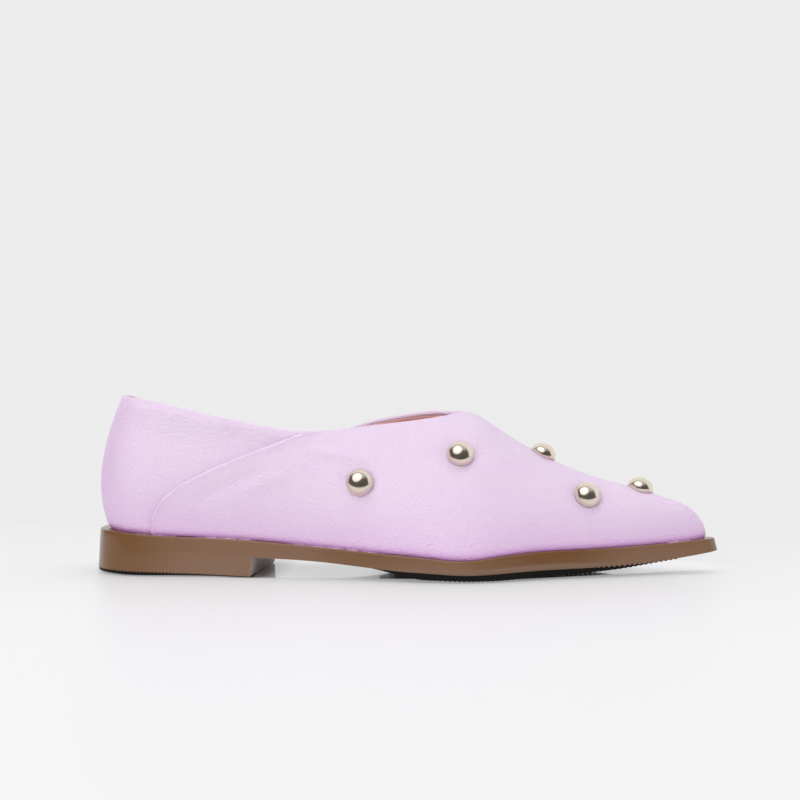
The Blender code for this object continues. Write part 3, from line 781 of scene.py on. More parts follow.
heel_lines, quarter_lines, vamp_lines, toe_lines = 36, 80, 60, 16
plain_lines = np.concatenate(
    (
        np.linspace(STATION_BACK, HEEL_CENTRE_X, heel_lines)[:-1],
        np.linspace(HEEL_CENTRE_X, THROAT_X, quarter_lines)[:-1],
        np.linspace(THROAT_X, TOE_CREST_X, vamp_lines),
        np.linspace(TOE_CREST_X, STATION_FRONT, toe_lines)[1:],
    )
)
lining_throat = heel_lines + quarter_lines - 2
lining_pole = lining_throat + vamp_lines - 1
lining_stations = {side: np.repeat(plain_lines[:, None], len(LINING_ROWS), 1) for side in SIDES}
base, outward, place, quads = sheet(lining_stations, LINING_ROWS, lining_throat, lining_pole)
drop = np.zeros(len(base))
down = np.zeros_like(base)
for side in SIDES:
    column_spots = base[place[side]]
    below_edge = np.linalg.norm(column_spots - column_spots[:, -1:], axis=-1)
    slope = column_spots[:, -2] - column_spots[:, -1]
    slope /= np.linalg.norm(slope, axis=1, keepdims=True)
    throat_share = soft_step(plain_lines, *LINING_THROAT)[:, None]
    drop[place[side]] = LINING_DROP * throat_share * np.exp(-((below_edge / LINING_DROP_FADE) ** 2))
    down[place[side]] = slope[:, None]
base = base + down * drop[:, None]
faced = base - outward * WALL
backed = base - outward * (WALL - LINING_THICKNESS)
for side in SIDES:
    for face in (faced, backed):
        stand_on_sole(face, place[side][:, 0])
faces = [quads, quads[:, ::-1] + len(base)]
for side in SIDES:
    flip = side == MEDIAL
    top_edge = place[side][: lining_throat + 1, -1]
    foot = place[side][:, 0]
    faces.append(grid_faces(np.stack((top_edge, top_edge + len(base)), 1), flip))
    faces.append(grid_faces(np.stack((foot + len(base), foot), 1), flip))
points = np.concatenate((backed, faced))
lining = add_piece("lining", points, np.concatenate(faces), lining_finish, sharp_above=60)
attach(lining, "root")


# Dome studs: eight turned caps of polished pale gold metal, each riveted through the front panel, so the
# leather is drawn in a little round its rim.
STUD_HEIGHT = 5.3
STUD_SIDES = 64
STUD_RINGS = 20
STUD_SINK = 0.12
PALE_GOLD = (0.86, 0.77, 0.66)
GOLD_SHADE = (0.80, 0.70, 0.58)
stud_finish = mottled_finish(
    "polished_pale_gold",
    tones=(PALE_GOLD, GOLD_SHADE),
    patch=(3.0, 2.0),
    speck=(0.8, 4.0),
    shine=(0.15, 0.21),
    grain=(1.6, 2.0),
    depth=0.006,
    Metallic=1.0,
)

leather_mesh = upper_leather.data
leather_tree = BVHTree.FromPolygons(
    [tuple(v.co / MM) for v in leather_mesh.vertices], [tuple(p.vertices) for p in leather_mesh.polygons]
)


def upper_axis(station, rise, side):
    """The outward direction of the upper at a stud's seat."""
    step, lift = 0.4, 0.02
    corner = [(step, 0.0), (-step, 0.0), (0.0, lift), (0.0, -lift)]
    places = [
        upper_point(np.array([station + s]), np.array([rise + r]), side, folded=False)[0] for s, r in corner
    ]
    outward = np.cross(places[0] - places[1], places[2] - places[3]) * -side
    return Vector(outward).normalized()


def stud_mesh(seat, axis):
    """A dome whose rim follows the leather under it, closed underneath."""
    across = axis.orthogonal().normalized()
    other = axis.cross(across)
    start = seat + axis * (4 * STUD_RADIUS)

    def on_leather(radius, turn):
        sideways = across * (radius * math.cos(turn)) + other * (radius * math.sin(turn))
        return leather_tree.ray_cast(start + sideways, -axis)[0]

    turns = np.linspace(0, 2 * math.pi, STUD_SIDES, endpoint=False)
    centre = on_leather(0.0, 0.0)
    rows = [[on_leather(STUD_RADIUS, turn) - axis * STUD_SINK for turn in turns]]
    for climb in np.linspace(0, math.pi / 2, STUD_RINGS + 1)[1:-1]:
        radius = STUD_RADIUS * math.cos(climb)
        rise = axis * (STUD_HEIGHT * math.sin(climb))
        rows.append(
            [centre + across * (radius * math.cos(t)) + other * (radius * math.sin(t)) + rise for t in turns]
        )
    dome = np.array(rows)
    numbers = numbered(dome).T
    numbers = np.concatenate((numbers, numbers[:1]))
    top = dome[..., 0].size
    cap = [[numbers[i, -1], numbers[i + 1, -1], top, top] for i in range(STUD_SIDES)]
    under = [[numbers[i + 1, 0], numbers[i, 0], top + 1, top + 1] for i in range(STUD_SIDES)]
    seat_points = [tuple(centre + axis * STUD_HEIGHT), tuple(centre - axis * STUD_SINK)]
    points = np.concatenate((dome.reshape(-1, 3), seat_points)) - (0.0, CENTRE_LINE_Y, 0.0)
    return points, np.concatenate((grid_faces(numbers), cap, under))


for name, station, side, rise in STUD_TABLE["rows"]:
    seat = Vector(stud_seats[name]) + Vector((0.0, CENTRE_LINE_Y, 0.0))
    dome = stud_mesh(seat, upper_axis(station, rise, side))
    stud = add_piece(name.replace("stud", "dome"), *dome, stud_finish)
    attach(stud, "root")
    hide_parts(name)


# Insole sock: salmon leather over a thin, firm foam, cut to the inside of the upper, its edge pressed
# round, and stuck down on the sole.
SOCK_GAP = 0.3
SOCK_THICKNESS = 3.0
SOCK_CLEARANCE = 0.6
SOCK_INSET = WALL + SOCK_CLEARANCE
SOCK_OUTLINE = {
    "inset": UPPER_OUTLINE["inset"] + SOCK_INSET,
    "back": UPPER_OUTLINE["back"] + SOCK_INSET,
    "tip": UPPER_OUTLINE["tip"] - SOCK_INSET,
    "tip_round": UPPER_OUTLINE["tip_round"],
}
SOCK_EDGE = 0.9
SOCK_RIM = 4.0

# Largest share of the half width that the edge and the rim take up in the narrow toe
SOCK_REACH = {"edge": 0.4, "rim": 0.5}
sock_finish = mottled_finish(
    "salmon_sock",
    tones=(SALMON_LIT, SALMON_DEEP),
    patch=(9.0, 3.0),
    speck=(1.5, 2.0),
    shine=(0.52, 0.66),
    grain=(0.6, 3.0),
    depth=0.05,
    Specular_IOR_Level=0.35,
)


def edge_loops(stations, side, outline, rows):
    """Points of rows that run round one side of an outline, each row set in from it and at a height."""
    start = outline_point(stations, side, **outline)
    outward = outline_normal(stations, side, **outline)
    grid = []
    for inset, height in rows:
        plan = start - outward * np.broadcast_to(inset, stations.shape)[:, None]
        grid.append(np.concatenate((plan, np.broadcast_to(height, stations.shape)[:, None]), 1))
    return np.stack(grid, 1)


def loop_solid(grids, fills=1):
    """A closed solid from the two sides' rows, capped across the first row and across the last."""
    size = grids[LATERAL][..., 0].size
    index = {LATERAL: numbered(grids[LATERAL])}
    index[MEDIAL] = index[LATERAL] + size
    index[MEDIAL][[0, -1]] = index[LATERAL][[0, -1]]
    points = [grids[LATERAL].reshape(-1, 3), grids[MEDIAL].reshape(-1, 3)]
    faces = [grid_faces(index[LATERAL], True), grid_faces(index[MEDIAL])]
    count = 2 * size
    for row, flip in ((0, False), (-1, True)):
        lateral, medial = grids[LATERAL][:, row], grids[MEDIAL][:, row]
        strips = [index[LATERAL][:, row]]
        for share in np.linspace(0, 1, fills + 2)[1:-1]:
            points.append(lateral * (1 - share) + medial * share)
            strip = np.arange(len(lateral)) + count
            strip[[0, -1]] = strips[0][[0, -1]]
            strips.append(strip)
            count += len(lateral)
        strips.append(index[MEDIAL][:, row])
        faces.append(grid_faces(np.stack(strips, 1), flip))
    return np.concatenate(points), np.concatenate(faces)


heel_lines, fore_lines, edge_rows = 40, 160, 6
heel_stations = np.linspace(STATION_BACK, HEEL_CENTRE_X, heel_lines)[:-1]
fore_stations = np.linspace(HEEL_CENTRE_X, STATION_FRONT, fore_lines)
sock_stations = np.concatenate((heel_stations, fore_stations))
sock_turn = np.linspace(math.pi / 2, 0, edge_rows)
sock_grids = {}
for side in SIDES:
    plan = outline_point(sock_stations, side, **SOCK_OUTLINE)
    low = sole_top(plan[:, 0]) + SOCK_GAP
    reach = np.abs(plan[:, 1])
    rows = [(np.minimum(SOCK_RIM, SOCK_REACH["rim"] * reach), low + SOCK_THICKNESS)]
    for turn in sock_turn:
        inset = np.minimum(SOCK_EDGE * (1 - math.cos(turn)), SOCK_REACH["edge"] * reach)
        rows.append((inset, low + SOCK_THICKNESS - SOCK_EDGE * (1 - math.sin(turn))))
    rows.append((0.0, low))
    sock_grids[side] = edge_loops(sock_stations, side, SOCK_OUTLINE, rows)
insole_sock = add_piece("insole_sock", *loop_solid(sock_grids, fills=7), sock_finish, sharp_above=50)
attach(insole_sock, "root")
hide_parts("insole")


# Outsole: one moulded brown unit, stuck on under the upper. Its side is a flat wall with a crisp upper
# rim, and round the ball a second, softer band turns in under the wall. The low heel is in the moulding.
SOLE_OUTLINE = {"inset": 0.0, "back": HEEL_BACK_X, "tip": TOE_TIP_X, "tip_round": 5.0}
BREAST_X = -63.2
BREAST_SKEW = 0.05
BREAST_DRAFT = 0.6
RIM_ROUND = 0.6
LOWER_ROUND = 0.25
WALL_DRAFT = 0.055
TIP_DRAFT = 0.22
TIP_DRAFT_FALL = 3
BAND_CURL = 1.5
BREAST_FACING = 0.9
HEEL_TEETH = {"height": 0.8, "pitch": 1.5}
HEEL_TEETH_END = (-76.0, -90.0)
TOE_TEETH = {"height": 0.9, "pitch": 2.2}
TOE_TEETH_START = (78.0, 86.0)
TOE_TEETH_END = (120.0, 112.0)
TREAD_DEPTH = 0.7
TREAD_DEPTH_SHARE = 0.5

# Largest share of the half width that the rim and the bevel take up in the narrow toe
SOLE_REACH = {"rim": 0.6, "bevel": 0.7}

# Under the heel: lower edge of the side, tread, and width of the bevel between them
HEEL_TABLE = {
    "columns": ("x", "edge", "tread", "bevel"),
    "rows": [
        (-135.0, 2.3, 1.0, 6.0),
        (-118.0, 2.1, 0.3, 6.0),
        (-105.0, 1.8, 0.0, 5.5),
        (-85.0, 1.3, 0.0, 4.5),
        (-62.0, 0.3, 0.0, 1.5),
    ],
}

# The same from the heel's front face, along the waist and the ball, to the toe
UNDERSIDE_TABLE = {
    "columns": ("x", "edge", "tread", "bevel"),
    "rows": [
        (-63.0, 8.4, 8.0, 3.0),
        (-40.0, 7.6, 7.0, 6.0),
        (-20.0, 6.1, 5.0, 14.0),
        (-9.0, 5.1, 2.4, 18.0),
        (0.0, 4.4, 0.0, 14.0),
        (10.0, 4.0, 0.0, 8.5),
        (24.0, 3.3, 0.0, 6.0),
        (42.0, 3.7, 0.0, 6.0),
        (58.0, 4.2, 0.7, 5.5),
        (80.0, 4.5, 2.0, 4.5),
        (90.0, 4.8, 2.9, 4.0),
        (100.0, 5.4, 4.3, 3.5),
        (111.0, 6.5, 6.0, 3.0),
        (122.0, 7.9, 7.5, 2.0),
        (135.0, 10.0, 9.7, 1.0),
    ],
}

# The softer band under the wall: how high it is, and how far it turns in
BAND_TABLE = {
    "columns": ("x", "height", "turn_in"),
    "rows": [
        (-64.0, 0.0, 0.0),
        (-20.0, 0.0, 0.0),
        (0.0, 0.9, 0.4),
        (26.0, 1.9, 0.9),
        (50.0, 2.2, 1.1),
        (66.0, 2.2, 1.1),
        (86.0, 1.4, 0.7),
        (102.0, 0.2, 0.1),
        (120.0, 0.0, 0.0),
        (136.0, 0.0, 0.0),
    ],
}
heel_under = {name: column(HEEL_TABLE, name) for name in ("edge", "tread", "bevel")}
fore_under = {name: column(UNDERSIDE_TABLE, name) for name in ("edge", "tread", "bevel")}
band_height = column(BAND_TABLE, "height")
band_turn_in = column(BAND_TABLE, "turn_in")


def underside(x, on_heel):
    """Lower edge of the side, tread and bevel width at each x, under the heel or ahead of it."""
    edge, tread, bevel = (np.where(on_heel, heel_under[name](x), fore_under[name](x)) for name in heel_under)
    return edge, np.maximum(tread, 0.0), bevel


def teeth(x, height, pitch):
    """A saw line about zero, as the ribs of the tread cut it into the lower edge of the side."""
    return height * (np.abs((x / pitch) % 1.0 - 0.5) * 2 - 0.5)


def drafted(rows, stations, side, top):
    """Rows of the side moved out with their depth, as the mould's draft leaves the heel and the toe."""
    facing = np.abs(outline_normal(stations, side, **SOLE_OUTLINE)[:, 0])
    return [(inset - WALL_DRAFT * facing * (top - height), height) for inset, height in rows]


# Painted reflection: a paler, greyer brown along the heel's side, the waist and the toe
REFLECTION_TABLE = {
    "columns": ("x", "painted_reflection"),
    "rows": [
        (-137.0, 0.5),
        (-128.0, 0.1),
        (-116.0, 0.0),
        (-101.0, 0.6),
        (-85.0, 1.0),
        (-40.0, 0.9),
        (-28.0, 0.4),
        (0.0, 0.5),
        (40.0, 0.45),
        (72.0, 0.0),
        (88.0, 0.7),
        (137.0, 0.9),
    ],
}
# The full brown, and a paler, greyer brown that is a painted reflection
BROWN_FULL = (0.152, 0.063, 0.014)
BROWN_REFLECTING = (0.204, 0.107, 0.058)
# The heel's front face is pale grey rather than brown, a painted reflection of the floor
BREAST_REFLECTION_DARK = (0.56, 0.47, 0.44)
BREAST_REFLECTION_PALE = (0.66, 0.57, 0.54)
sole_finish, tree, shader = new_finish(
    "brown_sole", Specular_IOR_Level=0.5, Coat_Weight=0.45, Coat_Roughness=0.10
)
brushed = noise(tree, size=0.35, detail=3.0, stretch=(60.0, 60.0, 1.0))
dents = noise(tree, size=5.0, stretch=(1.0, 1.0, 0.8))
streaks = varied(tree, brushed, low=-0.2, high=0.2)
# Painted reflection, mixed with the brushed streaks
reflection_and_streaks = combined(tree, "ADD", painted(tree, "painted_reflection"), streaks, clamped=True)
set_sockets(
    tree,
    shader,
    Base_Color=two_tone(tree, reflection_and_streaks, BROWN_FULL, BROWN_REFLECTING),
    Roughness=varied(tree, brushed, low=0.30, high=0.42),
    Normal=bump(tree, dents, depth=0.05, Normal=bump(tree, brushed, depth=0.02)),
)
breast_reflection_finish = mottled_finish(
    "rough_breast_painted_reflection",
    tones=(BREAST_REFLECTION_DARK, BREAST_REFLECTION_PALE),
    patch=(3.0, 3.0),
    speck=(0.8, 3.0),
    shine=(0.5, 0.6),
    grain=(0.5, 3.0),
    depth=0.05,
    Specular_IOR_Level=0.35,
)

round_lines, side_lines, fore_lines, tip_lines = 180, 140, 480, 40
TIP_LINES_X = 128.0
BEHIND_BREAST, AHEAD_OF_BREAST = 3.0, 3.5
BREAST_CORNER = 0.15
heel_round = np.linspace(STATION_BACK, HEEL_CENTRE_X, round_lines)[:-1]
heel_side = np.linspace(HEEL_CENTRE_X, BREAST_X - BEHIND_BREAST, side_lines)
breast_stations = np.array((BREAST_X - BREAST_CORNER, BREAST_X, BREAST_X + BREAST_DRAFT))
fore_stations = np.linspace(BREAST_X + AHEAD_OF_BREAST, TIP_LINES_X, fore_lines)
tip_stations = np.linspace(TIP_LINES_X, STATION_FRONT, tip_lines)[1:]
sole_stations = np.concatenate((heel_round, heel_side, breast_stations, fore_stations, tip_stations))
breast_lines_on_heel = 2
on_heel = np.arange(len(sole_stations)) < len(heel_round) + len(heel_side) + breast_lines_on_heel
skewed = np.isin(sole_stations, breast_stations)
RIM_INSETS = (6.0, 1.2)
RIM_TURNS = np.linspace(0, math.pi / 2, 6)
STEPS = np.linspace(0, 1, 7)[1:]
BAND_EDGE = (0.4, 0.0)
BAND_FULL = (0.3, 1.0)
sole_grids = {}
for side in SIDES:
    plan = outline_point(sole_stations, side, **SOLE_OUTLINE)
    x, reach = plan[:, 0], np.abs(plan[:, 1])
    top = sole_top(x)
    edge, tread, bevel = underside(x, on_heel)
    edge = edge + teeth(x, **HEEL_TEETH) * soft_step(x, *HEEL_TEETH_END) * on_heel
    edge = edge + teeth(x, **TOE_TEETH) * soft_step(x, *TOE_TEETH_START) * soft_step(x, *TOE_TEETH_END)
    edge = np.where(sole_stations == BREAST_X, edge + BREAST_CORNER, edge)
    tread = np.where(sole_stations == BREAST_X, tread + BREAST_CORNER, tread)
    band = np.where(on_heel, 0.0, np.maximum(band_height(x), 0.0))
    turn_in = np.where(on_heel, 0.0, np.maximum(band_turn_in(x), 0.0))
    wall_low = edge + band
    rim_reach = SOLE_REACH["rim"] * reach
    rows = [(np.maximum(np.minimum(inset, rim_reach), RIM_ROUND), top) for inset in RIM_INSETS]
    for turn in RIM_TURNS:
        rows.append((RIM_ROUND * (1 - math.sin(turn)), top - RIM_ROUND * (1 - math.cos(turn))))
    for share in STEPS:
        rows.append((0.0, (top - RIM_ROUND) * (1 - share) + (wall_low + LOWER_ROUND) * share))
    for share in STEPS:
        rows.append((turn_in * share**BAND_CURL, wall_low + LOWER_ROUND - (band + LOWER_ROUND) * share))
    bevel = np.minimum(bevel, SOLE_REACH["bevel"] * reach)
    bevel_low = tread + np.minimum(TREAD_DEPTH, TREAD_DEPTH_SHARE * edge)
    for share in STEPS:
        rows.append((turn_in + (bevel - turn_in) * share, edge + (bevel_low - edge) * share))
    facing = outline_normal(sole_stations, side, **SOLE_OUTLINE)[:, 0]
    tip_facing = np.maximum(facing, 0.0) ** TIP_DRAFT_FALL
    rows = [(inset + TIP_DRAFT * tip_facing * (height - edge), height) for inset, height in rows]
    grid = edge_loops(sole_stations, side, SOLE_OUTLINE, drafted(rows, sole_stations, side, top))
    grid[..., 0] += np.where(skewed, BREAST_SKEW, 0.0)[:, None] * grid[..., 1]
    sole_grids[side] = grid
sole_points, sole_faces = loop_solid(sole_grids, fills=9)
x, z = sole_points[:, 0], sole_points[:, 2]
# The band turned in under the wall round the ball gets the same paler brown, a painted reflection of the
# floor
above_band = z - fore_under["edge"](x) - band_height(x)
band_reflection = soft_step(above_band, *BAND_EDGE) * soft_step(band_height(x), *BAND_FULL) * (x > BREAST_X)
marks = {"painted_reflection": np.maximum(column(REFLECTION_TABLE, "painted_reflection")(x), band_reflection)}
outsole_unit = add_piece("outsole_unit", sole_points, sole_faces, sole_finish, marks, sharp_above=38)
# The heel's front face takes the pale grey painted reflection
outsole_unit.data.materials.append(breast_reflection_finish)
for face in outsole_unit.data.polygons:
    ahead = face.center.x / MM - BREAST_X - BREAST_SKEW * (face.center.y / MM - CENTRE_LINE_Y)
    if 0.0 < ahead < BREAST_DRAFT and face.normal.x > BREAST_FACING:
        face.material_index = 1
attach(outsole_unit, "root")
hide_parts("outsole")


# Treads: black rubber under the heel and under the forefoot, moulded into the unit with fine ribs across
# the foot. Its side shows as a dark line under the brown, with teeth at the heel and at the toe. The
# near-black tone and the upright side are partly the rubber and partly a painted shadow of the gap under the
# sole.
TREAD_TABLE = {
    "columns": ("name", "start", "end", "pitch", "tooth", "teeth_from"),
    "rows": [
        ("heel_tread", -134.2, -64.2, 1.5, 0.45, -136.0),
        ("forefoot_tread", -14.0, 118.0, 2.2, 0.9, 70.0),
    ],
}

# Share of the drop from the brown edge down to the tread that stands upright at the side, a near-black face
# that is partly a painted contact shadow
UPRIGHT_TABLE = {
    "columns": ("x", "upright"),
    "rows": [
        (-135.0, 0.85),
        (-118.0, 0.85),
        (-85.0, 0.4),
        (-62.0, 0.2),
        (-14.0, 0.0),
        (8.0, 0.7),
        (118.0, 0.8),
    ],
}
# Near-black: partly the rubber, partly a painted shadow under the sole
BLACK_RUBBER_AND_SHADOW = (0.004, 0.004, 0.004)
BLACK_WORN = (0.009, 0.008, 0.007)
tread_and_shadow_finish = mottled_finish(
    "black_tread_and_shadow",
    tones=(BLACK_RUBBER_AND_SHADOW, BLACK_WORN),
    patch=(4.0, 3.0),
    speck=(0.6, 3.0),
    shine=(0.55, 0.75),
    grain=(0.3, 2.0),
    depth=0.03,
    Specular_IOR_Level=0.15,
)

RIB_PHASES = np.array((0.0, 0.12, 0.38, 0.5, 0.62, 0.88))
RIB_DEPTHS = np.array((0.0, 0.0, 0.0, 0.9, 1.0, 0.9))
RIB_DEEPENING = 3
TREAD_STEPS = np.linspace(0, 1, 7)
TREAD_SIDE_INSET = 0.25
TREAD_SIDE_REACH = 0.3
TREAD_ROOT = 0.35
TEETH_FADE = 6.0
upright_xs, upright_shares = zip(*UPRIGHT_TABLE["rows"])
for name, start, end, pitch, tooth, teeth_from in TREAD_TABLE["rows"]:
    ribs = np.arange(start, end, pitch)
    x = (ribs[:, None] + RIB_PHASES * pitch).ravel()
    groove = np.minimum(np.tile(RIB_DEPTHS, len(ribs)) * tooth, TREAD_DEPTH)
    side_groove = groove * soft_step(x, teeth_from - TEETH_FADE, teeth_from)
    under_heel = np.full(x.shape, name == "heel_tread")
    edge, tread, bevel = underside(x, under_heel)
    roof = edge + TREAD_ROOT
    side_low = edge - np.interp(x, upright_xs, upright_shares) * (edge - tread)
    station = x
    if name == "heel_tread":
        heel_share = np.clip((HEEL_CENTRE_X - x) / (HEEL_CENTRE_X - HEEL_BACK_X), 0, 1)
        heel_turn = np.arccos(heel_share ** (HEEL_SQUARENESS / 2))
        turned = STATION_BACK + (HEEL_CENTRE_X - STATION_BACK) * heel_turn / (math.pi / 2)
        station = np.where(x < HEEL_CENTRE_X, turned, x)
    tread_grids = {}
    for side in SIDES:
        reach = np.abs(outline_point(station, side, **SOLE_OUTLINE)[:, 1])
        turn_in = np.where(under_heel, 0.0, np.maximum(band_turn_in(x), 0.0))
        start_inset = np.minimum(turn_in + TREAD_SIDE_INSET, TREAD_SIDE_REACH * reach)
        full = np.minimum(bevel, SOLE_REACH["bevel"] * reach)
        rows = [(start_inset, roof)]
        for share in TREAD_STEPS:
            inset = start_inset + (full - start_inset) * share
            rib = side_groove + (groove - side_groove) * min(1.0, RIB_DEEPENING * share)
            rows.append((inset, np.minimum(side_low + (tread - side_low) * share + rib, roof)))
        rows = drafted(rows, station, side, sole_top(x))
        tread_grids[side] = edge_loops(station, side, SOLE_OUTLINE, rows)
    tread_piece = add_piece(name, *loop_solid(tread_grids, fills=3), tread_and_shadow_finish, sharp_above=35)
    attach(tread_piece, "root")


# Cement: a thin pale bead of the glue that holds the upper on the sole. It was pressed out along the joint
# and wiped off in places before it set. Its pale tone is partly the glue's own and partly a painted glint.
CEMENT_TABLE = {
    "columns": ("side", "start", "end", "radius"),
    "rows": [
        (LATERAL, -113.0, -97.0, 0.18),
        (LATERAL, -88.0, -62.5, 0.34),
        (LATERAL, -49.0, -7.0, 0.30),
        (LATERAL, 112.0, 123.0, 0.30),
        (MEDIAL, -82.0, -57.0, 0.28),
        (MEDIAL, -32.0, 6.0, 0.26),
    ],
}
CEMENT_PALE_AND_GLINT = (0.86, 0.72, 0.80)
CEMENT_CLOUDY = (0.74, 0.58, 0.68)
CEMENT_OFF = 0.3
CEMENT_STEP = 0.25
CEMENT_MEAN = 0.6
CEMENT_LEAST = 0.08
CEMENT_WAVES = {"columns": ("height", "turns"), "rows": [(0.25, 0.83), (0.2, 2.17), (0.15, 5.1)]}
CEMENT_TAPER = 0.4
CEMENT_FLATNESS = 1.5
CEMENT_ROWS = 7
cement_finish = mottled_finish(
    "pale_cement_and_glint",
    tones=(CEMENT_PALE_AND_GLINT, CEMENT_CLOUDY),
    patch=(2.0, 3.0),
    speck=(0.8, 2.0),
    shine=(0.2, 0.4),
    grain=(0.4, 2.0),
    depth=0.04,
    Specular_IOR_Level=0.5,
)
cement_points = []
cement_faces = []
across = np.linspace(0, math.pi, CEMENT_ROWS)
for side, start, end, radius in CEMENT_TABLE["rows"]:
    stations = np.linspace(start, end, int((end - start) / CEMENT_STEP))
    taper = np.sin(math.pi * np.linspace(0, 1, len(stations))) ** CEMENT_TAPER
    beads = sum((height * np.sin(stations * turns) for height, turns in CEMENT_WAVES["rows"]), CEMENT_MEAN)
    size = radius * taper * np.maximum(beads, CEMENT_LEAST)
    outward = outline_normal(stations, side, **UPPER_OUTLINE)
    middle = outline_point(stations, side, **UPPER_OUTLINE) + outward * CEMENT_OFF
    breadth = size[:, None] * CEMENT_FLATNESS * np.cos(across)
    plan = middle[:, None] + outward[:, None] * breadth[..., None]
    level = sole_top(middle[:, :1]) + size[:, None] * np.sin(across)
    rolled = np.concatenate((plan, level[..., None]), -1)
    numbers = numbered(rolled, sum(len(part) for part in cement_points))
    cement_points.append(rolled.reshape(-1, 3))
    cement_faces.append(grid_faces(np.concatenate((numbers, numbers[:, :1]), 1), side == MEDIAL))
cement = add_piece("cement_bead", np.concatenate(cement_points), np.concatenate(cement_faces), cement_finish)
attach(cement, "root")


# Floor: a table top of white sheet with a soft far edge, not part of the shoe. Its glow is painted light
# with no lamp under it, lifting the shadows round the shoe. It is polished and glows less in the strip under
# the shoe, a painted shadow. In mirrors the floor ahead of that strip is painted dark, a painted reflection
# of a dark room.
FLOOR_BACK = 0.21
FLOOR_SHADED_FROM = -0.15
FLOOR_MIRRORED = -0.10
MIRROR_FADE = 0.01
FLOOR_WHITE = (0.508, 0.508, 0.511)
FLOOR_FAR = (0.468, 0.468, 0.470)
# Painted light: the floor's own glow
FLOOR_PAINTED_GLOW = 0.60
FLOOR_PAINTED_DARK_REFLECTION = (0.03, 0.03, 0.03)
FLOOR_SPECULAR = {"low": 0.1, "high": 0.5}
FLOOR_ROUGHNESS = {"low": 0.4, "high": 0.06}
STRIP_NEAR = -0.0255
STRIP_FAR = 0.030
STRIP_BACK = -0.066
STRIP_FRONT = 0.125
STRIP_FADE = {"near": 0.001, "far": 0.02, "back": 0.014, "front": 0.025}
STRIP_SLANT = {"start": 0.045, "end": 0.145, "low": 0.0, "high": 0.042}
# Painted glow along the strip: none at the heel's front face and along the forefoot's contact, a painted
# shadow, and less than elsewhere under the waist
STRIP_PAINTED_GLOW_TABLE = {
    "columns": ("x", "painted_glow"),
    "rows": [(-0.060, 0.0), (-0.050, 0.34), (-0.016, 0.34), (-0.004, 0.0), (0.080, 0.0), (0.104, 0.4)],
}
floor_finish, tree, shader = new_finish("pale_floor")
position = add_node(tree, "ShaderNodeNewGeometry").outputs["Position"]
spot = add_node(tree, "ShaderNodeSeparateXYZ", Vector=position).outputs
far_share = ramp(tree, spot["Y"], FLOOR_SHADED_FROM, FLOOR_BACK)
table_tone = two_tone(tree, far_share, FLOOR_WHITE, FLOOR_FAR)
# Painted reflection: glossy rays see the floor ahead of the shoe as dark
in_front = ramp(tree, spot["Y"], FLOOR_MIRRORED + MIRROR_FADE, FLOOR_MIRRORED - MIRROR_FADE)
glossy_ray = add_node(tree, "ShaderNodeLightPath").outputs["Is Glossy Ray"]
mirrored = two_tone(tree, combined(tree, "MULTIPLY", in_front, glossy_ray), table_tone, FLOOR_PAINTED_DARK_REFLECTION)
slanted = combined(tree, "SUBTRACT", spot["Y"], ramp(tree, spot["X"], **STRIP_SLANT))
glossy = ramp(tree, slanted, STRIP_NEAR - STRIP_FADE["near"], STRIP_NEAR + STRIP_FADE["near"])
for place, off, on in (
    (spot["Y"], STRIP_FAR + STRIP_FADE["far"], STRIP_FAR),
    (spot["X"], STRIP_BACK - STRIP_FADE["back"], STRIP_BACK),
    (spot["X"], STRIP_FRONT + STRIP_FADE["front"], STRIP_FRONT),
):
    glossy = combined(tree, "MULTIPLY", glossy, ramp(tree, place, off, on))
along = add_node(tree, "ShaderNodeValToRGB", Fac=ramp(tree, spot["X"], STRIP_BACK, STRIP_FRONT))
stops = along.color_ramp.elements
for number, (x, painted_glow) in enumerate(STRIP_PAINTED_GLOW_TABLE["rows"]):
    stop = stops[number] if number < len(stops) else stops.new(1.0)
    stop.position = (x - STRIP_BACK) / (STRIP_FRONT - STRIP_BACK)
    stop.color = (painted_glow, painted_glow, painted_glow, 1.0)
painted_glow = add_node(tree, "ShaderNodeMix", Factor=glossy, A=FLOOR_PAINTED_GLOW, B=along.outputs["Color"])
set_sockets(
    tree,
    shader,
    Base_Color=mirrored,
    Specular_IOR_Level=ramp(tree, glossy, 0.0, 1.0, **FLOOR_SPECULAR),
    Roughness=ramp(tree, glossy, 0.0, 1.0, **FLOOR_ROUGHNESS),
    Emission_Color=mirrored,
    Emission_Strength=painted_glow.outputs["Result"],
)

EDGE_ROUND = 0.012
EDGE_ROWS = 9
FLOOR_HALF = 3.0
FLOOR_NEAR_Y = -2.5
FLOOR_DROP = -0.5
edge_turn = np.linspace(0, math.pi / 2, EDGE_ROWS)
edge_start = FLOOR_BACK - EDGE_ROUND
profile = [(FLOOR_NEAR_Y, 0.0), (edge_start - EDGE_ROUND, 0.0), (edge_start, 0.0)]
profile += [(edge_start + EDGE_ROUND * math.sin(t), EDGE_ROUND * (math.cos(t) - 1)) for t in edge_turn[1:]]
profile.append((FLOOR_BACK, FLOOR_DROP))
floor_points = [(x, y, z) for x in (-FLOOR_HALF, FLOOR_HALF) for y, z in profile]
count = len(profile)
floor_faces = [(i, i + count, i + count + 1, i + 1) for i in range(count - 1)]
floor_mesh = bpy.data.meshes.new("floor")
floor_mesh.from_pydata(floor_points, [], floor_faces)
floor_mesh.shade_smooth()
floor_mesh.materials.append(floor_finish)
floor = bpy.data.objects.new("floor", floor_mesh)
bpy.context.scene.collection.objects.link(floor)


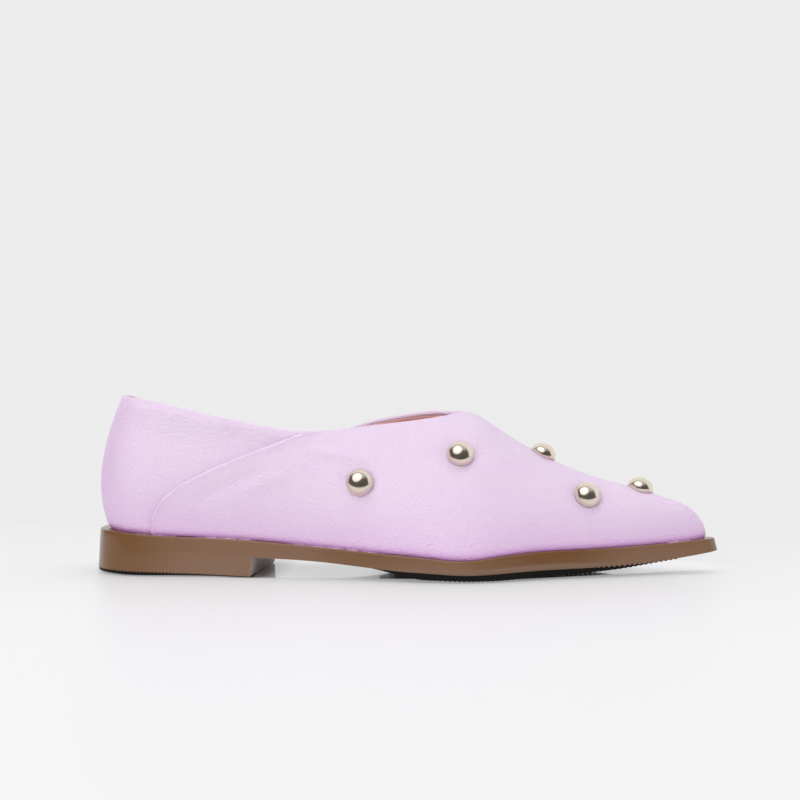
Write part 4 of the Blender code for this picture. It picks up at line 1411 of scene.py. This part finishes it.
# Studio: one round softbox high on the left, fills from the front and from the right, a top light, a white
# backdrop that comes round on the right, a pale ceiling, and a dark room on the camera's side.
KEY_PLACE = Vector((-0.31, -0.59, 0.745)).normalized() * 2.4
TOP_PLACE = Vector((0.0, 0.2, 2.4))
UNDER_SHOE = (0.0, 0.0, 0.0)
LIGHT_TABLE = {
    "columns": ("name", "place", "facing", "diameter", "power", "mirrored"),
    "rows": [
        ("key_softbox", KEY_PLACE, UNDER_SHOE, 3.0, 25.5, True),
        ("front_fill", Vector((-1.0, -2.15, 0.5)), UNDER_SHOE, 2.0, 28.0, False),
        ("top_light", TOP_PLACE, (TOP_PLACE.x, TOP_PLACE.y, 0.0), 1.6, 10.0, False),
        ("right_fill", Vector((1.9, -1.3, 0.5)), UNDER_SHOE, 1.2, 5.5, False),
    ],
}
for name, place, facing, diameter, power, mirrored in LIGHT_TABLE["rows"]:
    lamp = bpy.data.lights.new(name, "AREA")
    lamp.shape = "DISK"
    lamp.size = diameter
    lamp.energy = power
    light = bpy.data.objects.new(name, lamp)
    light.location = place
    light.rotation_euler = (place - Vector(facing)).to_track_quat("Z", "Y").to_euler()
    light.visible_glossy = mirrored
    bpy.context.scene.collection.objects.link(light)

world = bpy.data.worlds.new("studio")
world.use_nodes = True
tree = world.node_tree
room = tree.nodes["Background"]
ROOM_DARK = (0.10, 0.095, 0.09)
ROOM_WHITE = (0.90, 0.90, 0.91)
BACKDROP_SEEN = (0.845, 0.840, 0.845)
BACKDROP_FACING = (0.33, 0.945, 0.0)
BACKDROP_EDGE = {"start": 0.0, "end": 0.12}
BACKDROP_LEFT_END = {"start": -0.87, "end": -0.80}
CEILING = {"start": 0.55, "end": 0.85, "high": 0.60}
direction = add_node(tree, "ShaderNodeTexCoord").outputs["Generated"]
parts = add_node(tree, "ShaderNodeSeparateXYZ", Vector=direction).outputs
towards = add_node(tree, "ShaderNodeVectorMath", {"operation": "DOT_PRODUCT"})
tree.links.new(direction, towards.inputs[0])
towards.inputs[1].default_value = BACKDROP_FACING
backdrop_share = ramp(tree, towards.outputs["Value"], **BACKDROP_EDGE)
left_share = ramp(tree, parts["X"], **BACKDROP_LEFT_END)
backdrop_share = combined(tree, "MULTIPLY", backdrop_share, left_share)
lit = combined(tree, "MAXIMUM", backdrop_share, ramp(tree, parts["Z"], **CEILING))
room_tone = two_tone(tree, lit, ROOM_DARK, ROOM_WHITE)
camera_ray = add_node(tree, "ShaderNodeLightPath").outputs["Is Camera Ray"]
set_sockets(tree, room, Color=two_tone(tree, camera_ray, room_tone, BACKDROP_SEEN))
bpy.context.scene.world = world


# Camera: level with the collar, a little ahead of the shoe's middle, and turned three degrees towards the
# heel, as in the photograph.
CAMERA_PLACE = (0.0273, -0.5724, 0.075)
CAMERA_TURN = math.radians(3.0)
CAMERA_LENS = 58.77
camera_data = bpy.data.cameras.new("camera")
camera_data.lens = CAMERA_LENS
camera_data.sensor_width = 36.0
camera = bpy.data.objects.new("camera", camera_data)
camera.location = CAMERA_PLACE
camera.rotation_euler = (math.pi / 2, 0.0, CAMERA_TURN)
bpy.context.scene.collection.objects.link(camera)
bpy.context.scene.camera = camera
bpy.context.scene.view_settings.view_transform = "Standard"
